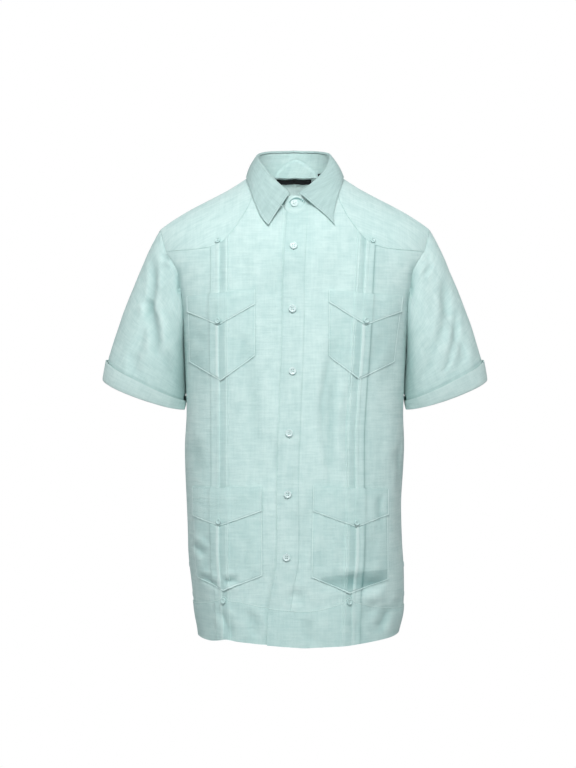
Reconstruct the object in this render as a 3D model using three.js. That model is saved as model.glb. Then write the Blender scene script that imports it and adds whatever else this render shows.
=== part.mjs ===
// A short-sleeved camp shirt with four pockets and pin-tuck bands, in linen.
// Millimetres, +Z up. The wearer faces -Y, so the wearer's left is +X. The origin is where the wearer's
// shoulders carry the shirt: in the middle, level with the shoulder seams beside the neck.

import * as THREE from 'three';
import { mergeVertices } from 'three/addons/utils/BufferGeometryUtils.js';

// ---------------------------------------------------------------- driving sizes

const cloth = 1.2; // wall of one layer of cloth
const seam = 0.4; // space left between two pieces
const layGap = 0.6; // space under a piece that lies on a panel
const tuckRise = 0.7; // how far a band of pin tucks stands above its panel
const tuckEdge = 1.4; // width of the step at each side of a tuck band

const ridge = 6; // Y of the line that runs along the shoulders and down the sides
const squareness = 2.6; // 2 would make the body oval, more makes it squarer
const shoulderRound = { front: 200, back: 170 }; // drop over which the chest and back round in
const neckDip = { depth: 49, from: -40, to: -150 }; // the front sinks at the neck, fading down the chest

const neckHalf = 62; // half the width of the neck hole
const neckFront = 91.5; // from the ridge line to the front and the back of the neck hole
const neckBack = 66;
const neckStep = 15; // degrees between two columns round the neck

const underarm = -250; // height of the bottom of the armhole
const armholeMiddle = -165; // height where the armhole reaches furthest forward
const armholeDepth = 80; // how far it reaches forward and back there

const ventTop = -620; // height where the side vents begin
const ventGap = 3; // how far a vent stands open at the hem, on each side of the seam

// Level sections of the body: half width, and depth from the ridge line to the front and to the back.
const bodySections = [
  { height: -745, half: 173, front: 150, back: 143 },
  { height: -640, half: 179, front: 149, back: 143 },
  { height: -540, half: 182, front: 148, back: 143 },
  { height: -430, half: 184, front: 146, back: 142 },
  { height: -362, half: 179, front: 145, back: 142 },
  { height: -300, half: 181, front: 144, back: 141 },
  { height: -250, half: 186, front: 143, back: 140 },
  { height: -200, half: 197, front: 141, back: 137 },
  { height: -150, half: 211, front: 138, back: 132 },
  { height: -104, half: 227, front: 136, back: 127 },
  { height: -60, half: 238, front: 135, back: 124 },
  { height: 80, half: 238, front: 135, back: 124 },
];

// The shoulder line from the middle of the neck out to the sleeve.
const shoulderLine = [
  { out: 0, height: 54 },
  { out: 30, height: 46 },
  { out: 62, height: 28 },
  { out: 81, height: 17 },
  { out: 106, height: 1 },
  { out: 136, height: -15 },
  { out: 171, height: -33 },
  { out: 198, height: -49 },
  { out: 217, height: -62 },
  { out: 240, height: -80 },
];

// The upper half of the armhole.
const armholeLine = [
  { height: -165, out: 187 },
  { height: -140, out: 190 },
  { height: -122, out: 199 },
  { height: -103, out: 211 },
  { height: -66, out: 222 },
  { height: -40, out: 226 },
];

// The yoke's front seam, from the neck out to the armhole, with a point over each tuck band.
const yokeSeam = [
  { out: 62, height: 25 },
  { out: 66, height: -4 },
  { out: 78, height: -38 },
  { out: 97, height: -69 },
  { out: 113, height: -88 },
  { out: 125, height: -96 },
  { out: 150, height: -102 },
  { out: 212, height: -104 },
];
const backSeamHeight = -82; // the yoke's back seam

// The two fronts. The wearer's left one lies on top. `edge` is the outline of its front edge, measured
// towards its own side, `tuck` the middle line of its band of pin tucks, and `pocketSide` the line that
// its pockets' outer edges are sewn to.
const fronts = {
  left: {
    sign: 1,
    under: 0,
    edge: [
      { height: -737, out: -45 },
      { height: -697, out: -44 },
      { height: -644, out: -37 },
      { height: -606, out: -30 },
      { height: -460, out: -29 },
      { height: -233, out: -23 },
      { height: -44, out: -17 },
    ],
    tuck: [
      { height: -740, out: 87 },
      { height: -650, out: 89 },
      { height: -483, out: 93 },
      { height: -348, out: 100 },
      { height: -107, out: 117 },
      { height: -80, out: 120 },
    ],
    tuckWidth: 25,
    pocketSide: [
      { height: -740, out: 147 },
      { height: -637, out: 149 },
      { height: -488, out: 149 },
      { height: -286, out: 160 },
      { height: -180, out: 173 },
      { height: -100, out: 184 },
    ],
  },
  right: {
    sign: -1,
    under: 1,
    edge: [
      { height: -737, out: 4 },
      { height: -606, out: -3 },
      { height: -460, out: -5 },
      { height: -233, out: -12 },
      { height: -44, out: -15 },
    ],
    tuck: [
      { height: -740, out: 116 },
      { height: -480, out: 120 },
      { height: -80, out: 120 },
    ],
    tuckWidth: 31,
    pocketSide: [
      { height: -740, out: 158 },
      { height: -635, out: 163 },
      { height: -488, out: 167 },
      { height: -286, out: 171 },
      { height: -180, out: 174 },
      { height: -100, out: 184 },
    ],
  },
};

// Patch pockets, `inner` being the edge near the buttons and `outer` the one near the side. A pocket
// ends in a blunt point below its tuck band, and so does the flap sewn across its top.
const pockets = {
  chest_left: {
    front: 'left', top: { inner: -173, outer: -180 }, innerTop: 53, innerFoot: 52,
    foot: { inner: -277, outer: -286 }, tip: { out: 101, height: -315 },
    flap: { inner: -192, outer: -205 }, flapTip: { out: 111, height: -228 },
  },
  chest_right: {
    front: 'right', top: { inner: -171, outer: -180 }, innerTop: 63, innerFoot: 63,
    foot: { inner: -277, outer: -286 }, tip: { out: 118, height: -317 },
    flap: { inner: -195, outer: -205 }, flapTip: { out: 121, height: -228 },
  },
  hip_left: {
    front: 'left', top: { inner: -483, outer: -490 }, innerTop: 28, innerFoot: 25,
    foot: { inner: -629, outer: -637 }, tip: { out: 86, height: -656 },
    flap: { inner: -524, outer: -532 }, flapTip: { out: 96, height: -550 },
  },
  hip_right: {
    front: 'right', top: { inner: -485, outer: -488 }, innerTop: 53, innerFoot: 52,
    foot: { inner: -627, outer: -635 }, tip: { out: 116, height: -653 },
    flap: { inner: -524, outer: -535 }, flapTip: { out: 119, height: -549 },
  },
};

// The hem and the scalloped top edge of the hem bands, from the middle of the front to the side.
const hemBands = {
  left: [
    { out: -46, top: -678, hem: -737 },
    { out: 15, top: -683, hem: -741 },
    { out: 44, top: -679, hem: -740 },
    { out: 74, top: -670, hem: -739 },
    { out: 85, top: -661, hem: -738 },
    { out: 96, top: -669, hem: -737 },
    { out: 139, top: -680, hem: -732 },
    { out: 179, top: -686, hem: -727 },
  ],
  right: [
    { out: -5, top: -677, hem: -736 },
    { out: 51, top: -676, hem: -736 },
    { out: 85, top: -669, hem: -733 },
    { out: 106, top: -667, hem: -731 },
    { out: 116, top: -661, hem: -730 },
    { out: 126, top: -667, hem: -732 },
    { out: 150, top: -673, hem: -735 },
    { out: 179, top: -680, hem: -733 },
  ],
  back: [
    { out: 0, top: -690, hem: -745 },
    { out: 100, top: -688, hem: -743 },
    { out: 179, top: -684, hem: -735 },
  ],
};

// Sleeves: the ring at the hem, tilted so that it faces down and outwards. It hangs lower in front than
// at the back, by `lean` either way.
const sleeveHem = { out: 248, y: 2, height: -339, breadth: 72, depth: 54, tilt: 18.9, lean: 9 };
const sleeveFull = 9; // how far the sleeve swells between armhole and hem
const cuffDepth = 33;
const cuffFlare = 2.2; // the turned-up cuff leans out by this much at its top
const bodyClear = 4.4; // a sleeve keeps this clear of the body

// The collar, by degrees round the neck from the middle of the front: where it folds over the stand and
// the outer edge of its leaf, which lies on the body.
const foldCentre = { x: -2, y: -5 };
const foldHalf = { x: 60, y: 71 };
const standDrop = 3.2; // the stand ends this far below the fold
const leafLift = 3.7; // the leaf's edge lies this far out of the body's form
const foldLine = [
  { turn: 0, height: -19 },
  { turn: 30, height: 7 },
  { turn: 60, height: 33 },
  { turn: 90, height: 55 },
  { turn: 135, height: 68 },
  { turn: 180, height: 72 },
];
const leafEdge = {
  right: [
    { turn: 7, out: 43, height: -69 },
    { turn: 15, out: 46, height: -66 },
    { turn: 30, out: 54, height: -55 },
    { turn: 50, out: 64, height: -30 },
    { turn: 75, out: 75, height: 6 },
    { turn: 90, out: 78, height: 17 },
    { turn: 105, out: 76, height: 16 },
    { turn: 130, out: 60, height: 14 },
    { turn: 155, out: 32, height: 15 },
    { turn: 180, out: 0, height: 17 },
  ],
  left: [
    { turn: 9, out: 62, height: -68 },
    { turn: 15, out: 61.5, height: -62 },
    { turn: 30, out: 61, height: -50 },
    { turn: 50, out: 65, height: -30 },
    { turn: 75, out: 75, height: 6 },
    { turn: 90, out: 78, height: 17 },
    { turn: 105, out: 76, height: 16 },
    { turn: 130, out: 60, height: 14 },
    { turn: 155, out: 32, height: 15 },
    { turn: 180, out: 0, height: 17 },
  ],
};

// The largest folds: a soft trough (or a ridge, where depth is negative) along a line on one panel.
const bodyFolds = [
  { side: 'front', x: 52, from: -250, to: -478, lean: -6, width: 16, depth: 5 },
  { side: 'front', x: -163, from: -405, to: -470, lean: 8, width: 12, depth: 3 },
  { side: 'back', x: 70, from: -260, to: -560, lean: 10, width: 26, depth: 6 },
  { side: 'back', x: -84, from: -220, to: -520, lean: -14, width: 24, depth: 5 },
];
const sleeveFolds = [
  { sleeve: 'right', turn: -62, from: 0.2, to: 0.86, width: 13, depth: 5 },
  { sleeve: 'left', turn: -48, from: 0.25, to: 0.8, width: 12, depth: 5 },
  { sleeve: 'right', turn: 70, from: 0.2, to: 0.8, width: 15, depth: 4 },
  { sleeve: 'left', turn: 80, from: 0.15, to: 0.75, width: 15, depth: 4 },
];

// Buttons. Those of the front stand on the line of the buttonholes.
const button = { radius: 6.2, thick: 2.6, rim: 1.3, dish: 0.7 };
const smallButton = { radius: 4.6, thick: 2.2, rim: 1, dish: 0.5 };
const frontButtons = [
  { height: -102, x: -2.6 },
  { height: -202, x: -4.4 },
  { height: -301, x: -4.4 },
  { height: -400, x: -9.4 },
  { height: -497, x: -12.4 },
  { height: -597, x: -13.8 },
];
const ventButtons = [-622, -670, -709];

// ---------------------------------------------------------------- materials

function finish(color, roughness) {
  return new THREE.MeshStandardMaterial({ color, roughness, metalness: 0 });
}

const linen = finish(0xc4e4e1, 0.9);
const deepLinen = finish(0xb4d4d1, 0.9);
const pearl = finish(0xcfe6e2, 0.35);
const black = finish(0x0c0d10, 0.8);

// ---------------------------------------------------------------- helpers

// The value of one column of a table at a place along its key column, with smooth bends at the rows.
function read(table, key, at, column) {
  const last = table.length - 1;
  const low = Math.min(table[0][key], table[last][key]);
  const high = Math.max(table[0][key], table[last][key]);
  const place = Math.min(Math.max(at, low), high);
  let k = 0;
  while (k < last - 1 && (place - table[k + 1][key]) * (table[last][key] - table[0][key]) > 0) k += 1;
  const slope = (i) => {
    const before = table[Math.max(i - 1, 0)];
    const after = table[Math.min(i + 1, last)];
    return (after[column] - before[column]) / (after[key] - before[key]);
  };
  const span = table[k + 1][key] - table[k][key];
  const t = (place - table[k][key]) / span;
  const rise = table[k + 1][column] - table[k][column];
  const startBend = slope(k) * span - rise;
  const endBend = rise - slope(k + 1) * span;
  return table[k][column] + rise * t + t * (1 - t) * ((1 - t) * startBend + t * endBend);
}

function mix(a, b, t) {
  return a + (b - a) * t;
}

function ease(t) {
  const s = Math.min(Math.max(t, 0), 1);
  return s * s * (3 - 2 * s);
}

// How deep a fold is at a distance `across` from its line and a fraction `t` along it.
function fold(depth, width, across, t) {
  if (t <= 0 || t >= 1) return 0;
  return depth * Math.exp(-((across / width) ** 2)) * Math.sin(Math.PI * t) ** 0.7;
}

// A closed wall through a grid of inside points, each with the point that lies across the cloth from it.
// `loop` joins the last column to the first, as on a tube.
function wall(grid, loop = false) {
  const rows = grid.length;
  const columns = grid[0].length;
  const corners = [];
  for (const cell of grid.flat()) {
    corners.push(...cell.inside.toArray(), ...cell.outside.toArray());
  }
  const corner = (i, j, outside) => 2 * (i * columns + (j % columns)) + outside;
  const faces = [];
  const quad = (a, b, c, d) => faces.push(a, b, c, a, c, d);
  const spans = loop ? columns : columns - 1;
  for (let i = 0; i < rows - 1; i += 1) {
    for (let j = 0; j < spans; j += 1) {
      quad(corner(i, j, 1), corner(i, j + 1, 1), corner(i + 1, j + 1, 1), corner(i + 1, j, 1));
      quad(corner(i, j, 0), corner(i + 1, j, 0), corner(i + 1, j + 1, 0), corner(i, j + 1, 0));
    }
  }
  for (let j = 0; j < spans; j += 1) {
    const end = rows - 1;
    quad(corner(0, j, 0), corner(0, j + 1, 0), corner(0, j + 1, 1), corner(0, j, 1));
    quad(corner(end, j, 0), corner(end, j, 1), corner(end, j + 1, 1), corner(end, j + 1, 0));
  }
  for (let i = 0; i < rows - 1 && !loop; i += 1) {
    quad(corner(i, 0, 0), corner(i, 0, 1), corner(i + 1, 0, 1), corner(i + 1, 0, 0));
    const j = columns - 1;
    quad(corner(i, j, 0), corner(i + 1, j, 0), corner(i + 1, j, 1), corner(i, j, 1));
  }
  const geometry = new THREE.BufferGeometry();
  geometry.setAttribute('position', new THREE.Float32BufferAttribute(corners, 3));
  geometry.setIndex(volume(corners, faces) > 0 ? faces : faces.reverse());
  return geometry;
}

function volume(corners, faces) {
  const at = (k) => new THREE.Vector3().fromArray(corners, 3 * k);
  let sum = 0;
  for (let k = 0; k < faces.length; k += 3) {
    sum += at(faces[k]).dot(at(faces[k + 1]).cross(at(faces[k + 2])));
  }
  return sum;
}

// Unit normals of a grid of points, from the points next to each.
function normals(points, loop) {
  const rows = points.length;
  const columns = points[0].length;
  const wrap = (j) => (loop ? (j + columns) % columns : Math.min(Math.max(j, 0), columns - 1));
  return points.map((row, i) => row.map((point, j) => {
    const along = points[Math.min(i + 1, rows - 1)][j].clone().sub(points[Math.max(i - 1, 0)][j]);
    const across = row[wrap(j + 1)].clone().sub(row[wrap(j - 1)]);
    return across.cross(along).normalize();
  }));
}

function piece(name, geometry, material) {
  const mesh = new THREE.Mesh(geometry, material);
  mesh.name = name;
  shirt.add(mesh);
  return mesh;
}

const shirt = new THREE.Group();
shirt.name = 'camp_shirt';

// ---------------------------------------------------------------- the form of the body

function section(height, column) {
  return read(bodySections, 'height', height, column);
}

// A rounded square's other coordinate: 1 in the middle of a side, 0 at the end.
function round(u) {
  return (1 - Math.min(Math.abs(u), 1) ** squareness) ** (1 / squareness);
}

function shoulder(side, x, z) {
  const out = Math.abs(x);
  const height = read(shoulderLine, 'out', out, 'height');
  if (side === 'back' || out >= neckHalf) return height;
  const fade = ease((z - neckDip.to) / (neckDip.from - neckDip.to));
  return height - neckDip.depth * fade * Math.cos((Math.PI * out) / (2 * neckHalf)) ** 2;
}

// How far the cloth is from the ridge line, measured along Y.
function reach(side, x, z) {
  const drop = (shoulder(side, x, z) - z) / shoulderRound[side];
  const top = Math.sqrt(Math.max(1 - (1 - Math.min(Math.max(drop, 0), 1)) ** 2, 0));
  let deep = section(z, side) * round(x / section(z, 'half')) * top;
  for (const f of bodyFolds) {
    const t = (z - f.from) / (f.to - f.from);
    if (f.side === side) deep -= fold(f.depth, f.width, x - f.x - f.lean * t, t);
  }
  return deep;
}

const facing = { front: -1, back: 1 };

// A point of the body's form, moved `out` from it square to the cloth.
function onBody(side, x, z, out = 0) {
  const y = ridge + facing[side] * reach(side, x, z);
  return new THREE.Vector3(x, y, z).addScaledVector(bodyNormal(side, x, y, z), out);
}

function bodyNormal(side, x, y, z) {
  const step = 0.05;
  const outside = (px, py, pz) => {
    const away = facing[side] * (py - ridge);
    return (Math.max(away, 0) - reach(side, px, pz)) / section(pz, side);
  };
  return new THREE.Vector3(
    outside(x + step, y, z) - outside(x - step, y, z),
    outside(x, y + step, z) - outside(x, y - step, z),
    outside(x, y, z + step) - outside(x, y, z - step),
  ).normalize();
}

// The distance along X from the middle to the armhole, or below it to the side seam. The pieces stop a
// little short of the seam, and further from it down the vents.
function sideOut(side, z) {
  const half = section(z, 'half');
  if (z > armholeMiddle) return read(armholeLine, 'height', z, 'out');
  if (z > underarm) {
    const t = (z - armholeMiddle) / (underarm - armholeMiddle);
    return half * round((armholeDepth * Math.sqrt(1 - t * t) + seam / 2) / section(z, side));
  }
  const open = seam / 2 + ventGap * ease((ventTop - z) / (ventTop - bodySections[0].height));
  return half * round(open / section(z, side));
}

// Columns from one distance out to another, spread evenly round the section rather than along X.
function fanColumns(from, to, z, count) {
  const half = section(z, 'half');
  const angle = (x) => Math.acos(Math.min(x / half, 1) ** (squareness / 2));
  const start = angle(from);
  const end = angle(to);
  return Array.from({ length: count }, (_, k) => {
    const turn = mix(start, end, (k + 1) / count);
    return half * Math.cos(turn) ** (2 / squareness);
  });
}

// The neck hole is an oval seen from above. Its height follows from the body's form.
function neckHeight(side, x) {
  const deep = (side === 'front' ? neckFront : neckBack) * Math.sqrt(Math.max(1 - (x / neckHalf) ** 2, 0));
  let z = 0;
  for (let k = 0; k < 40; k += 1) {
    const top = Math.min(deep / (section(z, side) * round(x / section(z, 'half'))), 1);
    z = mix(z, shoulder(side, x, z) - shoulderRound[side] * (1 - Math.sqrt(1 - top * top)), 0.7);
  }
  return z;
}

// ---------------------------------------------------------------- fronts

const radians = THREE.MathUtils.degToRad;
const neckColumns = [-1, 0, 1, 2, 3, 4, 5, 6].map((k) => neckHalf * Math.sin(radians(neckStep * k)));
const besideNeck = [0.3, 0.65]; // columns between the neck and the tuck band, as shares of the way
const neckGrip = { from: -170, to: -60 }; // between these heights the columns gather to the neck hole

function tuckRange(front, z) {
  const middle = read(front.tuck, 'height', z, 'out');
  return [middle - front.tuckWidth / 2, middle + front.tuckWidth / 2];
}

// Columns of a front at one height, measured towards its own side. Near the neck they follow the neck
// hole, and lower down they spread evenly.
function frontColumns(front, z) {
  const edge = read(front.edge, 'height', z, 'out');
  const [inner, outer] = tuckRange(front, z);
  const nearNeck = ease((z - neckGrip.from) / (neckGrip.to - neckGrip.from));
  const last = neckColumns.length - 1;
  const middle = neckColumns.map((x, k) => mix(mix(edge, neckHalf, k / last), k === 0 ? edge : x, nearNeck));
  const before = besideNeck.map((t) => mix(neckHalf, inner, t));
  const tucks = [inner, inner + tuckEdge, outer - tuckEdge, outer];
  const pocketSide = read(front.pocketSide, 'height', z, 'out');
  const beyond = fanColumns(pocketSide, sideOut('front', z), z, 2);
  return [...middle, ...before, ...tucks, ...fanColumns(outer, pocketSide, z, 3), ...beyond];
}

// Where the front ends above: at the neck, then along the yoke's seam.
function frontTop(out) {
  if (out < neckHalf - 0.01) return neckHeight('front', out) - seam / 2;
  return read(yokeSeam, 'out', out, 'height') - seam / 2;
}

function tuckHeight(front, out, z) {
  const [inner, outer] = tuckRange(front, z);
  return tuckRise * Math.max(Math.min((out - inner) / tuckEdge, (outer - out) / tuckEdge, 1), 0);
}

// The wearer's right front passes under the left one, and its hem band needs more room there. It comes
// back out beyond the left one's edge, over the width of the slope.
const underlap = { reach: 48, slope: 26, bandFrom: -600, bandOver: 35 };

function tuckedUnder(front, out, z) {
  if (!front.under) return 0;
  const edgeAbove = -read(fronts.left.edge, 'height', z, 'out');
  const band = ease((underlap.bandFrom - z) / underlap.bandOver);
  const deep = cloth + 2 * seam + (cloth + layGap) * band;
  return deep * ease((edgeAbove + underlap.reach - out) / underlap.slope);
}

function frontOutside(front, out, z) {
  return cloth + tuckHeight(front, out, z) - tuckedUnder(front, out, z);
}

const frontRows = [
  -690, -640, -585, -530, -475, -420, -362, -320, -285,
  underarm, -246, -236, -220, -200, -176, -148, -122,
];
const topRows = 3; // rows between the last height and the neck and yoke seam
const aboutHem = -735; // where the columns of a hem are read, as its height varies
const underTop = { drop: 2.4, from: -110, over: 50 }; // the under end lies lower at the neck

function frontGrid(name) {
  const front = fronts[name];
  const count = frontColumns(front, underarm).length;
  const place = (j, z) => frontColumns(front, z)[j];
  const cell = (out, z) => {
    const sink = tuckedUnder(front, out, z);
    const nearTop = z > frontRows.at(-1) ? ease((z - underTop.from) / underTop.over) : 0;
    const lower = underTop.drop * Math.min(sink, 1) * nearTop;
    const x = front.sign * out;
    return {
      inside: onBody('front', x, z - lower, -sink),
      outside: onBody('front', x, z - lower, frontOutside(front, out, z)),
      out,
      z,
    };
  };
  const grid = [];
  const hem = (out) => read(hemBands[name], 'out', out, 'hem');
  grid.push(Array.from({ length: count }, (_, j) => cell(place(j, aboutHem), hem(place(j, aboutHem)))));
  for (const z of frontRows) {
    grid.push(Array.from({ length: count }, (_, j) => cell(place(j, z), z)));
  }
  const topOf = (j) => {
    let z = 0;
    for (let k = 0; k < 30; k += 1) {
      z = mix(z, frontTop(place(j, z)), 0.5);
    }
    return z;
  };
  const tops = Array.from({ length: count }, (_, j) => topOf(j));
  for (let k = 1; k <= topRows; k += 1) {
    grid.push(tops.map((top, j) => {
      const z = mix(frontRows.at(-1), top, k / topRows);
      return cell(place(j, z), z);
    }));
  }
  return grid;
}

const frontGrids = { left: frontGrid('left'), right: frontGrid('right') };
piece('front_left', wall(frontGrids.left), linen);
piece('front_right', wall(frontGrids.right), linen);

// ---------------------------------------------------------------- yoke

// The angle over the shoulder, 0 on the ridge line, of a point of the form at one height.
function overAngle(side, x, z) {
  const drop = Math.min(Math.max((shoulder(side, x, z) - z) / shoulderRound[side], 0), 1);
  return facing[side] * Math.acos(1 - drop);
}

function overPoint(x, angle, out) {
  const side = angle < 0 ? 'front' : 'back';
  const z = shoulder(side, x, 0) - shoulderRound[side] * (1 - Math.cos(angle));
  return onBody(side, x, z, out);
}

// The armhole's distance from the middle at an angle over the shoulder.
function armholeOver(angle) {
  const side = angle < 0 ? 'front' : 'back';
  let out = 215;
  for (let k = 0; k < 20; k += 1) {
    const z = shoulder(side, out, 0) - shoulderRound[side] * (1 - Math.cos(angle));
    out = mix(out, sideOut(side, z), 0.5);
  }
  return out;
}

// Rows across the yoke: three from the front seam up to the ridge line, three from there down the back.
const yokeRows = 7;
const ridgeRow = 3;
const neckRowShares = [0, 0.03, 0.06, 0.1, 0.38, 0.7, 1]; // behind the neck the first rows keep close

function yokeHalf(name) {
  const front = fronts[name];
  const seamRow = frontGrids[name].at(-1).filter((c) => c.out > neckHalf - 0.01).map((c) => c.out);
  const frontEnd = seamRow.at(-1);
  const backEnd = sideOut('back', backSeamHeight);
  const endAngles = [
    overAngle('front', frontEnd, read(yokeSeam, 'out', frontEnd, 'height')),
    overAngle('back', backEnd, backSeamHeight),
  ];
  return seamRow.map((startOut) => {
    const share = (startOut - neckHalf) / (frontEnd - neckHalf);
    return Array.from({ length: yokeRows }, (_, i) => {
      const toFront = i < ridgeRow;
      const t = Math.abs(i - ridgeRow) / ridgeRow;
      const end = i === 0 ? frontEnd : armholeOver(endAngles[toFront ? 0 : 1] * t);
      const out = i === 0 ? startOut : mix(neckHalf, end, share);
      const x = front.sign * out;
      const seamHeight = toFront ? read(yokeSeam, 'out', out, 'height') : backSeamHeight;
      const angle = t * overAngle(toFront ? 'front' : 'back', out, seamHeight + seam / 2);
      return { inside: overPoint(x, angle, 0), outside: overPoint(x, angle, cloth), x };
    });
  });
}

// Behind the neck the yoke runs from the neck hole to its back seam.
function yokeMiddle() {
  const turns = Array.from({ length: 11 }, (_, k) => neckStep * (k - 5));
  return turns.map((turn) => {
    const x = neckHalf * Math.sin(radians(turn));
    return neckRowShares.map((t) => {
      const start = overAngle('back', x, neckHeight('back', x) - seam / 2);
      const angle = mix(start, overAngle('back', x, backSeamHeight + seam / 2), t);
      return { inside: overPoint(x, angle, 0), outside: overPoint(x, angle, cloth), x };
    });
  });
}

const yokeColumns = [...yokeHalf('right').reverse(), ...yokeMiddle(), ...yokeHalf('left')];
piece('yoke', wall(yokeColumns), linen);

// ---------------------------------------------------------------- back

const backRows = [
  -690, -620, -550, -480, -410, -350, -300,
  underarm, -246, -236, -220, -200, -176, -148, -120,
];
const hemHalf = 179; // the back's half width at the hem
const evenBack = { from: -200, over: 100 }; // above this the back's columns spread evenly along X

function backGrid() {
  const seamX = yokeColumns.map((column) => column.at(-1).x);
  const picked = seamX.filter((x, k) => k % 2 === 0 || k === seamX.length - 1);
  const share = picked.map((x) => x / seamX.at(-1));
  const row = (height) => share.map((s) => {
    const z = height(s);
    const side = sideOut('back', z);
    const half = section(z, 'half');
    const full = Math.acos((side / half) ** (squareness / 2));
    const low = Math.sign(s) * half * Math.cos(mix(Math.PI / 2, full, Math.abs(s))) ** (2 / squareness);
    const x = mix(low, s * side, ease((z - evenBack.from) / evenBack.over));
    return { inside: onBody('back', x, z), outside: onBody('back', x, z, cloth) };
  });
  const hem = (s) => read(hemBands.back, 'out', hemHalf * Math.abs(s), 'hem');
  return [row(hem), ...backRows.map((z) => row(() => z)), row(() => backSeamHeight - seam)];
}

const backPoints = backGrid();
piece('back', wall(backPoints), linen);

// ---------------------------------------------------------------- sleeves and cuffs

// The armhole from the underarm up the front, over the shoulder and down the back.
function armhole(name) {
  const sign = fronts[name].sign;
  const first = frontRows.indexOf(underarm) + 1;
  const up = frontGrids[name].slice(first).map((row) => row.at(-1));
  const over = (sign > 0 ? yokeColumns.at(-1) : yokeColumns[0]).slice(1, -1);
  const backFirst = backRows.indexOf(underarm) + 2;
  const down = backPoints.slice(backFirst).map((row) => (sign > 0 ? row.at(-1) : row[0])).reverse();
  return [...up, ...over, ...down];
}

// The shape of one sleeve: its point a fraction `t` of the way from armhole to hem, in column `j`.
function sleeveShape(name) {
  const sign = fronts[name].sign;
  const hole = armhole(name);
  const count = hole.length;
  const middle = new THREE.Vector3();
  for (const cell of hole) {
    middle.addScaledVector(cell.inside, 1 / count);
  }
  const edges = hole.map((cell, j) => {
    const square = cell.outside.clone().sub(cell.inside).normalize();
    const along = hole[(j + 1) % count].inside.clone().sub(hole[(j + count - 1) % count].inside);
    const away = along.cross(square).normalize();
    if (away.dot(middle.clone().sub(cell.inside)) < 0) away.negate();
    const corner = cell.outside.clone().addScaledVector(away, seam).addScaledVector(square, seam);
    return { inside: cell.inside, corner, away };
  });
  const lengths = [0];
  for (let j = 1; j <= count; j += 1) {
    lengths.push(lengths.at(-1) + edges[j % count].inside.distanceTo(edges[j - 1].inside));
  }
  const tilt = radians(sleeveHem.tilt);
  const outward = new THREE.Vector3(sign * Math.cos(tilt), 0, Math.sin(tilt));
  const hemMiddle = new THREE.Vector3(sign * sleeveHem.out, sleeveHem.y, sleeveHem.height);
  const rings = edges.map((edge, j) => {
    const turn = 360 * (lengths[j] / lengths[count]) - 180;
    const a = radians(turn);
    const swell = outward.clone().multiplyScalar(Math.cos(a));
    swell.y += Math.sin(a);
    const end = hemMiddle.clone().addScaledVector(outward, sleeveHem.breadth * Math.cos(a));
    end.y += sleeveHem.depth * Math.sin(a);
    end.z += sleeveHem.lean * Math.sin(a);
    return { turn, swell, end, inner: Math.max(-Math.cos(a), 0) };
  });
  const point = (t, j) => {
    const { turn, swell, end, inner } = rings[j];
    let full = sleeveFull * Math.sin(Math.PI * t) ** 0.6 * (1 - inner);
    for (const f of sleeveFolds) {
      const across = ((turn - f.turn) / 360) * lengths[count];
      if (f.sleeve === name) full -= fold(f.depth, f.width, across, (t - f.from) / (f.to - f.from));
    }
    const p = edges[j].inside.clone().lerp(end, t).addScaledVector(swell, full);
    return clearOfBody(p, sign, mix(2 * seam, bodyClear, ease(t / 0.6)));
  };
  const top = Math.round(count / 2);
  const length = edges[top].inside.distanceTo(rings[top].end);
  return { point, count, length, edges };
}

// Keeps a point of a sleeve outside the body, wherever the body has cloth beside it.
function clearOfBody(p, sign, clear) {
  const side = p.y < ridge ? 'front' : 'back';
  const body = section(p.z, 'half') * round(Math.abs(p.y - ridge) / section(p.z, side));
  if (p.z > armholeMiddle || body > sideOut(side, p.z) + 3) return p;
  const least = body + 2 * cloth + clear;
  return sign * p.x < least ? new THREE.Vector3(sign * least, p.y, p.z) : p;
}

// A stretch of a sleeve as a tube, moved out from the sleeve's own points. A stretch that starts at the
// armhole takes the body's edge as its first ring.
function sleeveWall(shape, stops, lift) {
  const points = stops.map((t) => Array.from({ length: shape.count }, (_, j) => shape.point(t, j)));
  const out = normals(points, true);
  const across = points[1][0].clone().sub(points[1][Math.round(shape.count / 2)]);
  const flip = out[1][0].dot(across) < 0 ? -1 : 1;
  const grid = points.map((row, i) => row.map((p, j) => {
    const square = out[i === 0 ? 1 : i][j].clone().multiplyScalar(flip);
    if (stops[i] === 0) {
      const { corner, away } = shape.edges[j];
      const outside = corner.clone().addScaledVector(away, cloth * Math.max(away.dot(square), 0));
      return { inside: outside.clone().addScaledVector(square, -cloth), outside };
    }
    return {
      inside: p.clone().addScaledVector(square, lift(i)),
      outside: p.clone().addScaledVector(square, lift(i) + cloth),
    };
  }));
  return wall(grid, true);
}

const sleeveStops = [0, 0.08, 0.2, 0.36, 0.54, 0.72]; // rings between armhole and cuff, as shares

for (const name of ['left', 'right']) {
  const shape = sleeveShape(name);
  const cuffStart = 1 - cuffDepth / shape.length;
  const stops = [...sleeveStops, cuffStart, 1];
  piece(`sleeve_${name}`, sleeveWall(shape, stops, () => 0), linen);
  const lift = (i) => cloth + layGap + cuffFlare * (1 - i);
  piece(`cuff_${name}`, sleeveWall(shape, [cuffStart, 1], lift), deepLinen);
}

// ---------------------------------------------------------------- collar

// A point on the fold line. Turns run from the middle of the front towards the wearer's right.
function foldPoint(turn, inward = 0) {
  const a = radians(turn);
  const from = Math.abs(((turn + 180) % 360) - 180);
  const x = foldCentre.x - (foldHalf.x - inward) * Math.sin(a);
  const y = foldCentre.y - (foldHalf.y - inward) * Math.cos(a);
  return new THREE.Vector3(x, y, read(foldLine, 'turn', from, 'height'));
}

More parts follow.
